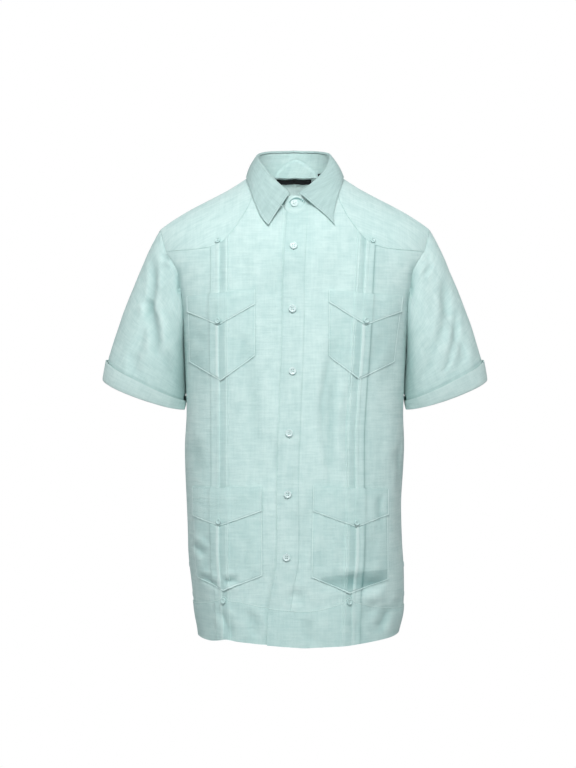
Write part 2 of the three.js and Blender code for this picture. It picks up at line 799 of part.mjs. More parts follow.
// The bottom edge of the stand, just inside the neck hole.
function standFoot(turn, inward) {
  const a = radians(turn);
  const front = Math.cos(a) > 0;
  const x = -neckHalf * Math.sin(a);
  const z = neckHeight(front ? 'front' : 'back', x);
  const deep = front ? neckFront : neckBack;
  return new THREE.Vector3(-(neckHalf - inward) * Math.sin(a), ridge - (deep - inward) * Math.cos(a), z);
}

// One band round the neck. Its first end is the wearer's right one, which lies under the last.
const standIn = 0.7; // the stand is this far inside the neck hole
const underEnd = { from: 12, over: 40, lower: 1.2 }; // degrees over which the under end comes back out
function standGrid() {
  const columns = Array.from({ length: 27 }, (_, k) => neckStep * (k - 1));
  const rows = [0, 0.5, 1];
  return rows.map((t) => columns.map((turn) => {
    const below = 1 - ease((turn - underEnd.from) / underEnd.over);
    const under = (2 * cloth + seam) * below;
    const raised = (underEnd.lower / 2) * below * (1 - t);
    const at = (inward) => {
      const foot = standFoot(turn, inward);
      const top = foldPoint(turn, inward);
      top.z -= standDrop;
      return foot.lerp(top, t).add(new THREE.Vector3(0, 0, raised));
    };
    return { inside: at(standIn + cloth + under), outside: at(standIn + under) };
  }));
}

const standPoints = standGrid();
piece('collar_stand', wall(standPoints), linen);

const leafTurnsBack = 97; // degrees from the front at which the leaf's edge passes the ridge line

// The outer edge of the leaf, resting on the body.
function leafPoint(turn) {
  const wrapped = turn > 180 ? 360 - turn : turn;
  const name = turn > 180 ? 'left' : 'right';
  const table = leafEdge[name];
  const out = read(table, 'turn', wrapped, 'out');
  const z = read(table, 'turn', wrapped, 'height');
  const side = wrapped > leafTurnsBack ? 'back' : 'front';
  const top = shoulder(side, out, z) - seam;
  return onBody(side, -out * (name === 'right' ? 1 : -1), Math.min(z, top), leafLift);
}

// The leaf rises off the stand's top edge, turns over and falls to its outer edge.
const leafEnds = [7, 351]; // degrees
const leafBulge = 9; // how full the leaf's fall is
const leafShares = [0.3, 0.65]; // rows down its fall
const leafOver = 1.2; // the leaf's fold is this far inside the stand's

function leafGrid() {
  const between = Array.from({ length: 23 }, (_, k) => neckStep * (k + 1));
  const turns = [leafEnds[0], ...between, leafEnds[1]];
  const rows = turns.map((turn) => {
    const foldTop = foldPoint(turn, leafOver);
    const a = radians(turn);
    const radial = new THREE.Vector3(-Math.sin(a), -Math.cos(a), 0);
    const edge = leafPoint(turn);
    const at = (outward, down) => {
      const p = foldTop.clone().addScaledVector(radial, outward);
      return p.setZ(p.z - down);
    };
    const bend = at(3.4, 1.6);
    const roll = radial.clone().setZ(0.6).normalize();
    const fall = leafShares.map((t) => {
      return bend.clone().lerp(edge, t).addScaledVector(roll, leafBulge * t * (1 - t));
    });
    return [at(0, standDrop - 0.8), at(0.9, 0), at(2.2, 0), bend, ...fall.map(clearOfForm), edge];
  });
  const out = normals(rows, false);
  const flip = out[12][5].y > 0 ? 1 : -1;
  return rows.map((row, i) => row.map((p, j) => ({
    inside: p,
    outside: p.clone().addScaledVector(out[i][j], flip * cloth),
  })));
}

// Lifts a point of the leaf until it lies clear of the fronts and the yoke.
function clearOfForm(p) {
  const side = p.y < ridge ? 'front' : 'back';
  const away = facing[side] * (p.y - ridge);
  const normal = bodyNormal(side, p.x, p.y, p.z);
  const short = leafLift - (away - reach(side, p.x, p.z)) * Math.abs(normal.y);
  return short > 0 ? p.clone().addScaledVector(normal, short) : p;
}

piece('collar', wall(leafGrid()), linen);

// ---------------------------------------------------------------- what lies on the panels

// A place between the grid points of a panel, `i` rows and `j` columns along.
function between(grid, i, j) {
  const row = Math.min(Math.floor(i), grid.length - 2);
  const column = Math.min(Math.floor(j), grid[0].length - 2);
  const at = (key) => {
    const here = grid[row][column][key].clone().lerp(grid[row + 1][column][key], i - row);
    const next = grid[row][column + 1][key].clone().lerp(grid[row + 1][column + 1][key], i - row);
    return here.lerp(next, j - column);
  };
  return { inside: at('inside'), outside: at('outside') };
}

// A cell of a piece that lies `lift` off the outside of such a place.
function laidOn(grid, i, j, lift, thick) {
  const { inside, outside } = between(grid, i, j);
  const square = outside.clone().sub(inside).normalize();
  return {
    inside: outside.clone().addScaledVector(square, lift),
    outside: outside.clone().addScaledVector(square, lift + thick),
  };
}

// Row and column numbers of a front's grid at a distance from the middle and a height.
const meanHem = -738;

function spotOn(name, out, z) {
  const heights = [meanHem, ...frontRows];
  const above = Math.max(heights.findIndex((height) => height >= z), 1);
  const t = (z - heights[above - 1]) / (heights[above] - heights[above - 1]);
  const rowAbove = frontGrids[name][above];
  const columns = frontGrids[name][above - 1].map((cell, j) => mix(cell.out, rowAbove[j].out, t));
  const next = Math.max(columns.findIndex((x) => x >= out), 1);
  return [above - 1 + t, next - 1 + (out - columns[next - 1]) / (columns[next] - columns[next - 1])];
}

// ---------------------------------------------------------------- pockets and flaps

// A height that runs from one side of a pocket to the other through a point in between.
function pointedLine(from, tip, to, out) {
  if (out < tip.out) return mix(from.height, tip.height, (out - from.out) / (tip.out - from.out));
  return mix(tip.height, to.height, (out - tip.out) / (to.out - tip.out));
}

// The outlines of a pocket: its two sides, and its top, foot and flap at any distance from the middle.
function pocketOutline(pocket) {
  const down = (z) => (z - pocket.top.inner) / (pocket.foot.inner - pocket.top.inner);
  const inner = (z) => mix(pocket.innerTop, pocket.innerFoot, down(z));
  const outer = (z) => read(fronts[pocket.front].pocketSide, 'height', z, 'out');
  const line = (heights, tip) => (out) => {
    const from = { out: inner(heights.inner), height: heights.inner };
    const to = { out: outer(heights.outer), height: heights.outer };
    if (tip) return pointedLine(from, tip, to, out);
    return mix(from.height, to.height, (out - from.out) / (to.out - from.out));
  };
  return {
    inner,
    outer,
    top: line(pocket.top),
    foot: line(pocket.foot, pocket.tip),
    flap: line(pocket.flap, pocket.flapTip),
  };
}

// A patch on a front between an upper and a lower outline. Its columns are the front's own, with one more
// at each side, so that it lies on the front's cloth everywhere.
function patch(name, outline, upper, lower, heights, lift, thick) {
  const front = fronts[name];
  const highest = Math.max(upper(outline.inner(0)), upper(outline.outer(0)));
  const along = [0, 0.25, 0.5, 0.75, 1].map((t) => mix(outline.inner(highest), outline.outer(highest), t));
  const lowest = Math.min(...along.map(lower));
  const column = (edge, z) => spotOn(name, edge(z), z)[1];
  const first = Math.floor(Math.max(column(outline.inner, highest), column(outline.inner, lowest))) + 1;
  const last = Math.ceil(Math.min(column(outline.outer, highest), column(outline.outer, lowest))) - 1;
  const columns = [
    outline.inner,
    ...Array.from({ length: last - first + 1 }, (_, k) => (z) => frontColumns(front, z)[first + k]),
    outline.outer,
  ];
  const settle = (outAt, height) => {
    let z = height(outAt(highest));
    for (let k = 0; k < 6; k += 1) {
      z = height(outAt(z));
    }
    return z;
  };
  const rows = [(from) => from, ...heights, (from, to) => to];
  return wall(rows.map((height) => columns.map((outAt) => {
    const z = height(settle(outAt, upper), settle(outAt, lower));
    const out = outAt(z);
    const [row, place] = spotOn(name, out, z);
    return laidOn(frontGrids[name], row, place, lift(out, z), thick(out, z));
  })));
}

const rowMargin = 15; // a front's row is used in a pocket when it is this far from its top and foot
const skippedRow = -246;

for (const [name, pocket] of Object.entries(pockets)) {
  const front = fronts[pocket.front];
  const outline = pocketOutline(pocket);
  const tucks = (out, z) => tuckHeight(front, out, z);
  const foot = Math.max(pocket.foot.inner, pocket.foot.outer);
  const inside = (z) => z < pocket.top.outer - rowMargin && z > foot + rowMargin && z !== skippedRow;
  const levels = frontRows.filter(inside).reverse();
  const lastRow = (from, to) => mix(Math.min(from, levels.at(-1)), to, 0.5);
  const heights = [...levels.map((z) => () => z), lastRow];
  const onFront = () => layGap;
  const overTucks = (out, z) => cloth + tucks(out, z);
  const cut = patch(pocket.front, outline, outline.top, outline.foot, heights, onFront, overTucks);
  piece(`pocket_${name}`, cut, linen);
  const flapTop = (out) => outline.top(out) - 1;
  const overPocket = (out, z) => 2 * layGap + cloth + tucks(out, z);
  const half = [(from, to) => mix(from, to, 0.5)];
  const oneCloth = () => cloth;
  const flap = patch(pocket.front, outline, flapTop, outline.flap, half, overPocket, oneCloth);
  piece(`flap_${name}`, flap, deepLinen);
}

// ---------------------------------------------------------------- hem bands

const bandFoot = 0.02; // the band starts this share of a row above the hem

for (const name of ['left', 'right']) {
  const grid = frontGrids[name];
  const edges = grid[0].map((cell, j) => {
    const top = read(hemBands[name], 'out', grid[1][j].out, 'top');
    return 1 + (top - frontRows[0]) / (frontRows[1] - frontRows[0]);
  });
  const rows = [() => bandFoot, () => 1, (j) => edges[j]];
  const band = rows.map((row) => edges.map((_, j) => laidOn(grid, row(j), j, layGap, cloth)));
  piece(`hem_band_${name}`, wall(band), deepLinen);
}

const backBand = [bandFoot, 1].map((i) => {
  return backPoints[0].map((_, j) => laidOn(backPoints, i, j, layGap, cloth));
});
piece('hem_band_back', wall(backBand), deepLinen);

// ---------------------------------------------------------------- buttons

function buttonGeometry(size) {
  const profile = [
    [0, 0], [size.radius - 0.5, 0], [size.radius, 0.6], [size.radius, size.thick - 0.5],
    [size.radius - 0.5, size.thick], [size.radius - size.rim, size.thick],
    [size.radius - size.rim - 0.5, size.thick - size.dish], [0, size.thick - size.dish],
  ];
  const lathe = new THREE.LatheGeometry(profile.map(([r, h]) => new THREE.Vector2(r, h)), 12);
  lathe.deleteAttribute('normal');
  lathe.deleteAttribute('uv');
  lathe.rotateX(Math.PI / 2);
  return withoutSlivers(mergeVertices(lathe, 1e-4));
}

// A lathe leaves flat triangles where its profile meets the axis.
function withoutSlivers(geometry) {
  const index = geometry.getIndex().array;
  const kept = [];
  for (let k = 0; k < index.length; k += 3) {
    const [a, b, c] = index.slice(k, k + 3);
    if (a !== b && b !== c && c !== a) kept.push(a, b, c);
  }
  const corners = Array.from(geometry.getAttribute('position').array);
  geometry.setIndex(volume(corners, kept) > 0 ? kept : kept.reverse());
  return geometry;
}

// Seats a button on the cloth: `at` is the cloth's outside and `direction` points away from it.
function seat(name, size, at, direction) {
  const mesh = piece(name, buttonGeometry(size), pearl);
  mesh.position.copy(at).addScaledVector(direction, layGap);
  mesh.quaternion.setFromUnitVectors(new THREE.Vector3(0, 0, 1), direction);
}

// Seats a button on a front, on top of `level` of cloth. Above the front's level rows it is seated on the
// form itself.
function seatOnFront(name, size, side, out, z, level) {
  if (z > frontRows.at(-1)) {
    const front = fronts[side];
    const at = onBody('front', front.sign * out, z, frontOutside(front, out, z) + level);
    seat(name, size, at, bodyNormal('front', at.x, at.y, at.z));
    return;
  }
  const [row, place] = spotOn(side, out, z);
  const { inside, outside } = between(frontGrids[side], row, place);
  const square = outside.clone().sub(inside).normalize();
  seat(name, size, outside.clone().addScaledVector(square, level), square);
}

frontButtons.forEach((place, k) => {
  seatOnFront(`button_front_${k + 1}`, button, 'left', place.x, place.height, 0);
});

const layer = layGap + cloth;
const abovePoint = { flap: 3, hem: 2.5 }; // between a point's seam and the rim of its button
for (const [name, pocket] of Object.entries(pockets)) {
  const z = pocket.flapTip.height + smallButton.radius + abovePoint.flap;
  const tucks = tuckHeight(fronts[pocket.front], pocket.flapTip.out, z);
  seatOnFront(`button_${name}`, smallButton, pocket.front, pocket.flapTip.out, z, 2 * layer + tucks);
}

const yokePoint = { out: 124, height: -88 };
const ventAcross = 0.35; // a vent's buttons stand this far towards the first column from the side
for (const name of ['left', 'right']) {
  const x = fronts[name].sign * yokePoint.out;
  const onYoke = onBody('front', x, yokePoint.height, cloth);
  seat(`button_yoke_${name}`, smallButton, onYoke, bodyNormal('front', x, onYoke.y, yokePoint.height));
  const peak = hemBands[name][4];
  const peakHeight = peak.top - smallButton.radius - abovePoint.hem;
  seatOnFront(`button_hem_${name}`, smallButton, name, peak.out, peakHeight, layer);
  const column = name === 'left' ? backPoints[0].length - 1 - ventAcross : ventAcross;
  ventButtons.forEach((height, k) => {
    const above = backRows.findIndex((z) => z >= height) + 1;
    const floor = above === 1 ? hemBands.back.at(-1).hem : backRows[above - 2];
    const row = above - 1 + (height - floor) / (backRows[above - 1] - floor);
    const { inside, outside } = between(backPoints, row, column);
    const square = outside.clone().sub(inside).normalize();
    const onBand = height < backRows[0] + smallButton.radius + 1 ? layer : 0;
    const base = outside.clone().addScaledVector(square, onBand + seam);
    seat(`button_vent_${name}_${k + 1}`, smallButton, base, square);
  });
}

const tabColumn = standPoints[1].length - 2;
const neckButtonRow = 1.4; // rows up the stand
const standFront = between(standPoints, neckButtonRow, tabColumn).outside;
const standAcross = standPoints[1].at(-1).outside.clone().sub(standPoints[1].at(-3).outside);
const standUp = standPoints[2][tabColumn].outside.clone().sub(standPoints[0][tabColumn].outside);
const standSquare = standAcross.cross(standUp).normalize();
if (standSquare.y > 0) standSquare.negate();
seat('button_neck', button, standFront.addScaledVector(standSquare, layGap), standSquare);

// ---------------------------------------------------------------- label and size tab

// A tab against the inside of a grid, between two columns and two shares of its first row.
function tabInside(grid, columns, rows, thick) {
  return wall(rows.map((i) => columns.map((j) => {
    const { inside, outside } = between(grid, i, j);
    const square = inside.clone().sub(outside).normalize();
    return {
      inside: inside.clone().addScaledVector(square, layGap + thick),
      outside: inside.clone().addScaledVector(square, layGap),
    };
  })));
}

const yokeRowsUp = yokeColumns[0].map((_, i) => yokeColumns.map((column) => column[i]));
const labelMiddle = (yokeColumns.length - 1) / 2;
const labelColumns = [-2, -1, 0, 1, 1.8].map((k) => labelMiddle + k);
const labelRows = [0.8, 3.05];
const tab = { columns: [15.8, 16.25], rows: [0.06, 0.3] }; // beside the label, towards the wearer's left
const tapeThick = 1;
piece('neck_label', tabInside(yokeRowsUp, labelColumns, labelRows, tapeThick), black);
piece('size_tab', tabInside(standPoints, tab.columns, tab.rows, tapeThick), black);

export default shirt;
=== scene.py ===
import math

import bmesh
import bpy
import numpy as np
from mathutils import Matrix, Vector


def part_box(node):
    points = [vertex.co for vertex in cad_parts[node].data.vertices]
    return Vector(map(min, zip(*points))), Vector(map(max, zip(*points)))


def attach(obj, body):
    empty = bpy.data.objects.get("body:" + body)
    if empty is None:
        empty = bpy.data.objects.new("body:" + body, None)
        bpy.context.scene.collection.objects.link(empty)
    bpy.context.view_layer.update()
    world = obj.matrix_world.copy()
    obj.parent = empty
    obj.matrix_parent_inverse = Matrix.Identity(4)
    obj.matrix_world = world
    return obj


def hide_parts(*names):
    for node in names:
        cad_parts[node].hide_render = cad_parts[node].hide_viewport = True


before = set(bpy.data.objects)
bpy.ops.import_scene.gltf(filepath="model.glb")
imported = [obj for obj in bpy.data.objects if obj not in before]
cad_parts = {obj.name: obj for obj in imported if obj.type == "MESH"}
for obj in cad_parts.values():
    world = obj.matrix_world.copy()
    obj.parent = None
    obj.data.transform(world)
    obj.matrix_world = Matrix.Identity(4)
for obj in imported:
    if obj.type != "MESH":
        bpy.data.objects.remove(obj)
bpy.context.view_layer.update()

# ---------------------------------------------------------------- the studio
# A pale floor some way below the shirt and soft light: a big lamp high in front, a weaker one at
# each side and a small one inside the neck. The camera stands straight in front, near mid height.



def put(name, data):
    made = bpy.data.objects.new(name, data)
    bpy.context.collection.objects.link(made)
    return made


def as_mesh(name, made):
    """Turns a bmesh into a named mesh and lets it go."""
    mesh = bpy.data.meshes.new(name)
    made.to_mesh(mesh)
    made.free()
    return mesh


camera = put("camera", bpy.data.cameras.new("camera"))
camera.location = (-0.0116, -3.3, -0.322)
camera.rotation_euler = (math.radians(90), 0, 0)
camera.data.sensor_fit = "VERTICAL"
camera.data.sensor_height = 36
camera.data.lens = 93.19
bpy.context.scene.camera = camera
bpy.context.scene.view_settings.view_transform = "Standard"


def lamp(name, place, aim, size, watts):
    light = bpy.data.lights.new(name, "AREA")
    light.shape = "RECTANGLE"
    light.size, light.size_y = size
    light.energy = watts
    made = put(name, light)
    made.location = place
    made.rotation_euler = (Vector(aim) - Vector(place)).to_track_quat("-Z", "Y").to_euler()


lamp("key", (0.02, -1.95, 1.2), (0, 0, -0.15), (0.9, 0.6), 45)
lamp("left_fill", (-2.6, -1.7, -0.1), (0, 0, -0.5), (1.0, 1.6), 8)
lamp("right_fill", (2.4, -2.2, 0.1), (0, 0, -0.45), (1.0, 1.6), 4.5)
lamp("inside", (0, 0, -0.11), (0, 0.1, 0.0), (0.08, 0.05), 0.07)


class Wire:
    """An output of a shader node, which adds and multiplies as a number does."""

    def __init__(self, tree, socket=None):
        self.tree = tree
        self.socket = socket

    def node(self, kind, settings, inputs, output=0):
        made = self.tree.nodes.new("ShaderNode" + kind)
        for key, value in settings.items():
            setattr(made, key, value)
        for key, value in inputs.items():
            if isinstance(value, Wire):
                self.tree.links.new(value.socket, made.inputs[key])
            else:
                made.inputs[key].default_value = value
        return Wire(self.tree, made.outputs[output] if len(made.outputs) else None)

    def sum(self, operation, *values):
        return self.node("Math", {"operation": operation}, dict(enumerate(values)))

    def __add__(self, other):
        return self.sum("ADD", self, other)

    def __mul__(self, other):
        return self.sum("MULTIPLY", self, other)


def finish(name):
    made = bpy.data.materials.new(name)
    made.use_nodes = True
    made.node_tree.nodes.clear()
    return made, Wire(made.node_tree)


def paint(made, wire, shader):
    wire.node("OutputMaterial", {}, {"Surface": shader})
    return made


def tinted(wire, share, before, after):
    return wire.node("Mix", {"data_type": "RGBA"}, {"Factor": share, "A": before, "B": after}, 2)


def speckle(wire, scale, **more):
    """Fine noise that is fixed to the piece."""
    place = wire.node("TexCoord", {}, {}, "Object")
    return wire.node("TexNoise", {}, {"Vector": place, "Scale": scale, **more}, "Fac")


floor_paint, wire = finish("pale_floor")
paint(floor_paint, wire, wire.node("MixShader", {}, {
    0: wire.node("LightPath", {}, {}, "Is Camera Ray"),
    1: wire.node("BsdfDiffuse", {}, {"Color": (0.6, 0.61, 0.61, 1)}),
    2: wire.node("Emission", {}, {"Color": (1, 1, 1, 1), "Strength": 1.0}),
}))
ground = bmesh.new()
bmesh.ops.create_grid(ground, x_segments=2, y_segments=2, size=14, matrix=Matrix.Translation((0, 6, -1.25)))
floor = put("floor", as_mesh("floor", ground))
floor.data.materials.append(floor_paint)

world = bpy.data.worlds.new("studio")
world.use_nodes = True
world.node_tree.nodes.clear()
sky = Wire(world.node_tree)
seen = sky.node("Background", {}, {"Color": (1, 1, 1, 1), "Strength": 1.0})
glow = sky.node("Background", {}, {"Color": (0.95, 0.98, 1, 1), "Strength": 0.42})
straight = sky.node("LightPath", {}, {}, "Is Camera Ray")
sky.node("OutputWorld", {}, {"Surface": sky.node("MixShader", {}, {0: straight, 1: glow, 2: seen})})
bpy.context.scene.world = world

# ---------------------------------------------------------------- the fronts
# Two front panels of plain linen, the wearer's left one on top. Each is cut in one piece from yoke to
# hem, with a turned-back buttoning edge and a band of fine pin tucks pressed away from a plain strip.
# Sizes are in millimetres, and how far a piece lies out is measured square from the body's form.
cloth_wall = 1.2  # how far out the outside of a plain panel lies
ridge = 6  # how far behind the middle the line lies where front and back meet
squareness = 2.6  # the power of the body's rounded sections: 2 would be an ellipse
armhole_bend = -165  # below this the armhole's edge turns in to the side
underarm = -250
vent_top = -620
body = {
    "height": [-745, -640, -540, -430, -362, -300, -250, -200, -150, -104, -60, 80],
    "half": [173, 179, 182, 184, 179, 181, 186, 197, 211, 227, 238, 238],
    "front": [150, 149, 148, 146, 145, 144, 143, 141, 138, 136, 135, 135],
    "back": [143, 143, 143, 142, 142, 141, 140, 137, 132, 127, 124, 124],
}
shoulder_line = {
    "out": [0, 30, 62, 81, 106, 136, 171, 198, 217, 240],
    "height": [54, 46, 28, 17, 1, -15, -33, -49, -62, -80],
}
armhole_line = {"height": [-165, -140, -122, -103, -66, -40], "out": [187, 190, 199, 211, 222, 226]}
yoke_seam = {
    "out": [62, 66, 78, 97, 113, 125, 150, 212],
    "height": [25, -4, -38, -69, -88, -96, -102, -104],
}
shoulder_round = {"front": 200, "back": 170}
facing = {"front": -1, "back": 1}
neck_half = 62
neck_deep = {"front": 91.5, "back": 66}
# The largest folds of the body: where each starts and ends, how far it leans, its width and depth.
body_folds = [
    ("front", 57, -250, -490, 0, 11, 4.5),
    ("front", -78, -243, -490, 26, 12, 3.2),
    ("front", -163, -405, -470, 8, 12, 4),
    ("back", 70, -260, -560, 10, 26, 6),
    ("back", -84, -220, -520, -14, 24, 5),
]
# Smaller creases: both ends (across, height), width and depth. A negative depth is a ridge.
body_creases = {
    "front": [
        (-37, -400, -36, -480, 11, 1.6),
        (-130, -677, -102, -736, 8, 3.2),
        (-80, -677, -61, -732, 8, 3.2),
        (60, -256, 60, -488, 5, 2.4),
        (81, -300, 83, -486, 7, -2.6),
        (164, -424, 170, -462, 9, 4.0),
        (178, -395, 182, -520, 5, 2.4),
        (28, -634, 108, -630, 9, 2.0),
        (68, -634, 156, -632, 11, 2.8),
        (104, -659, 148, -660, 11, -5.6),
        (137, -490, 138, -556, 6, 2.6),
        (158, -675, 130, -726, 8, 5.2),
        (176, -655, 160, -712, 6, 2.6),
        (-14, -654, 18, -668, 9, 2.6),
        (-172, -580, -140, -600, 7, 4.6),
        (-164, -632, -118, -650, 6, 3.4),
        (-116, -642, -88, -634, 6, 4.2),
        (-168, -262, -150, -340, 12, 1.8),
        (168, -262, 152, -330, 12, 1.8),
        (20, -690, 36, -742, 10, 2.0),
        (96, -690, 104, -738, 9, 2.0),
        (24, -500, 18, -610, 14, 1.8),
        (-24, -120, -48, -190, 16, 1.2),
        (60, -110, 74, -180, 18, 1.3),
    ],
    "back": [
        (-20, -150, -34, -420, 22, 3.0),
        (128, -210, 112, -430, 18, 3.2),
        (-150, -240, -128, -470, 16, 3.4),
        (34, -420, 52, -690, 20, 2.6),
        (-60, -470, -46, -735, 20, 3.0),
        (120, -520, 134, -740, 16, 2.6),
        (-132, -560, -140, -740, 14, 2.4),
        (-170, -300, -120, -330, 9, 2.0),
        (172, -290, 118, -322, 9, 2.2),
        (60, -100, 84, -230, 16, 2.0),
        (-96, -96, -70, -190, 14, 1.8),
    ],
}


def mix(a, b, t):
    return a + (b - a) * t


def ease(t):
    s = np.clip(t, 0, 1)
    return s * s * (3 - 2 * s)


def read(table, key, at, column):
    """A column of a table at places along its key column, bending smoothly at the rows."""
    xs = np.array(table[key], float)
    ys = np.array(table[column], float)
    if xs[0] > xs[-1]:
        xs, ys = xs[::-1], ys[::-1]
    low = np.maximum(np.arange(len(xs)) - 1, 0)
    high = np.minimum(np.arange(len(xs)) + 1, len(xs) - 1)
    slope = (ys[high] - ys[low]) / (xs[high] - xs[low])
    place = np.clip(at, xs[0], xs[-1])
    k = np.clip(np.searchsorted(xs, place, side="right") - 1, 0, len(xs) - 2)
    span = xs[k + 1] - xs[k]
    t = (place - xs[k]) / span
    rise = ys[k + 1] - ys[k]
    bend = (1 - t) * (slope[k] * span - rise) + t * (rise - slope[k + 1] * span)
    return ys[k] + rise * t + t * (1 - t) * bend


def section(z, column):
    return read(body, "height", z, column)


def rounded(u):
    return (1 - np.minimum(np.abs(u), 1) ** squareness) ** (1 / squareness)


def shoulder(side, x, z):
    """The height of the shoulder line. In front it dips towards the middle of the neck."""
    out = np.abs(x)
    height = read(shoulder_line, "out", out, "height")
    if side == "back":
        return height
    dip = np.cos(math.pi * np.minimum(out, neck_half) / (2 * neck_half)) ** 2
    return height - 49 * ease((z + 150) / 110) * dip


def creased(x, z, creases):
    """How deep the creases of a list are at places of a panel, seen square on."""
    deep = np.zeros(np.broadcast(x, z).shape)
    for x0, z0, x1, z1, width, depth in creases:
        length = math.hypot(x1 - x0, z1 - z0)
        along = ((x - x0) * (x1 - x0) + (z - z0) * (z1 - z0)) / length ** 2
        bow = 0.08 * length * np.sin(math.pi * np.clip(along, 0, 1))
        across = ((x - x0) * (z1 - z0) - (z - z0) * (x1 - x0)) / length - bow * (1 if x0 > 0 else -1)
        ends = ease(along / 0.35) * ease((1 - along) / 0.35)
        u = across / width
        deep += depth * ends * (np.exp(-u * u) - 0.35 * np.exp(-((np.abs(u) - 1.9) ** 2) / 0.6))
    return deep


def uneven(x, z, turn=0.0):
    """The slight waviness of pressed linen that has been worn, at most about a millimetre."""
    waves = [(31, 210, 0.30), (47, -160, 0.26), (74, 330, 0.34), (22, 95, 0.10), (140, -120, 0.22)]
    return sum(
        size * np.sin(x / across * 2 * math.pi + turn + k) * np.cos(z / down * 2 * math.pi + 2.3 * k + turn)
        for k, (across, down, size) in enumerate(waves)
    )


def sunk(side, x, z):
    """How far the folds and creases of the body lie below its smooth form."""
    deep = creased(x, z, body_creases[side])
    for where, x0, start, end, lean, width, depth in body_folds:
        if where == side:
            t = (z - start) / (end - start)
            on = np.clip(t, 0, 1)
            deep = deep + depth * np.exp(-((x - x0 - lean * t) / width) ** 2) * np.sin(math.pi * on) ** 0.7
    return deep


def reach(side, x, z):
    """How far the cloth's inside lies in front of the ridge line, or behind it. Creases fade at the sides."""
    drop = (shoulder(side, x, z) - z) / shoulder_round[side]
    top = np.sqrt(np.maximum(1 - (1 - np.clip(drop, 0, 1)) ** 2, 0))
    around = rounded(x / section(z, "half"))
    deep = section(z, side) * around * top
    calm = ease((-z - 60) / 60) * ease(around / 0.35)
    return deep - (sunk(side, x, z) + uneven(x, z, facing[side])) * calm


# How far each side of the cloth falls in below the arms, and the wearer's right side more at its foot.
side_falls = {
    "height": [-745, -731, -695, -636, -580, -520, -490, -400, -345],
    "left": [6, 5, -1.5, 0, 5, 8, 7.5, 3, 0],
    "right": [0, 0, -2, 3, 5, 4.5, 4, 2, 0],
}


def drawn_in(x, z):
    """How far the cloth of the sides swings across from the plain form, towards the wearer's left."""
    foot = 15 * ease((-x - 80) / 90) * ease((-585 - z) / 140)
    falls = {name: read(side_falls, "height", np.clip(z, -745, -345), name) for name in ("left", "right")}
    return foot + falls["right"] * ease((-x - 150) / 30) - falls["left"] * ease((x - 150) / 30)


def body_normal(side, x, y, z):
    """Unit directions square to the body's form, worked out from small steps to either side."""
    step = 0.05

    def outside(px, py, pz):
        return (np.maximum(facing[side] * (py - ridge), 0) - reach(side, px, pz)) / section(pz, side)

    square = np.stack([
        outside(x + step, y, z) - outside(x - step, y, z),
        outside(x, y + step, z) - outside(x, y - step, z),
        outside(x, y, z + step) - outside(x, y, z - step),
    ], -1)
    return square / np.maximum(np.linalg.norm(square, axis=-1, keepdims=True), 1e-9)


def on_body(side, x, z, out=0.0):
    """Places on the body's form, moved out from it square to the cloth."""
    x, z = np.broadcast_arrays(np.asarray(x, float), np.asarray(z, float))
    y = ridge + facing[side] * reach(side, x, z)
    square = body_normal(side, x, y, z)
    return np.stack([x + drawn_in(x, z), y, z], -1) + square * np.broadcast_to(out, x.shape)[..., None]


def side_out(side, z):
    """From the middle to the armhole, or below it to the side seam and the side vent."""
    half = section(z, "half")
    t = np.clip((z - armhole_bend) / (underarm - armhole_bend), 0, 1)
    hole = half * rounded((80 * np.sqrt(1 - t * t) + 0.2) / section(z, side))
    vent = half * rounded((0.2 + 3 * ease((vent_top - z) / 125)) / section(z, side))
    lower = np.where(z > underarm, hole, vent)
    return np.where(z > armhole_bend, read(armhole_line, "height", z, "out"), lower)


def neck_height(side, x):
    """The height of the neck hole's edge, closed in on step by step."""
    deep = neck_deep[side] * np.sqrt(np.maximum(1 - (x / neck_half) ** 2, 0))
    z = np.zeros(np.shape(x))
    for _ in range(40):
        top = np.minimum(deep / (section(z, side) * rounded(x / section(z, "half"))), 1)
        z = mix(z, shoulder(side, x, z) - shoulder_round[side] * (1 - np.sqrt(1 - top * top)), 0.7)
    return z


surfaces = {}


def lengths(rows):
    steps = np.linalg.norm(np.diff(rows, axis=0), axis=-1)
    return np.concatenate([[0], np.cumsum(steps)])


def square_to(points, ring=False):
    """Unit directions square to a grid of points, away from its middle."""
    down = np.gradient(points, axis=0)
    if ring:
        across = np.roll(points, -1, 1) - np.roll(points, 1, 1)
        middle = points.mean(axis=1, keepdims=True)
    else:
        across = np.gradient(points, axis=1)
        middle = np.array([0, ridge, 0]) + points * np.array([0, 0, 1])
    square = np.cross(across, down)
    square /= np.maximum(np.linalg.norm(square, axis=-1, keepdims=True), 1e-9)
    return square if ((points - middle) * square).sum() > 0 else -square


def laid_out(points, shade=None):
    """A sheet through a grid of points, with each place's painted light and shade, and the layer that holds
    its threads.
    """
    rows, columns = points.shape[:2]
    made = bmesh.new()
    thread = made.loops.layers.uv.verify()
    bmesh.ops.create_grid(made, x_segments=columns - 1, y_segments=rows - 1, size=0.5, calc_uvs=True)
    tone = made.verts.layers.float.new("shade")
    for vertex in made.verts:
        j = round((vertex.co.x + 0.5) * (columns - 1))
        i = round((vertex.co.y + 0.5) * (rows - 1))
        vertex.co = points[i, j] / 1000
        if shade is not None:
            vertex[tone] = shade[i, j % shade.shape[1]]
    for face in made.faces:
        face.smooth = True
    return made, thread


def fixed(made, replaced=()):
    """Ties a piece to the body, in place of the nodes that it replaces."""
    if replaced:
        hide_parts(*replaced)
    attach(made, "root")


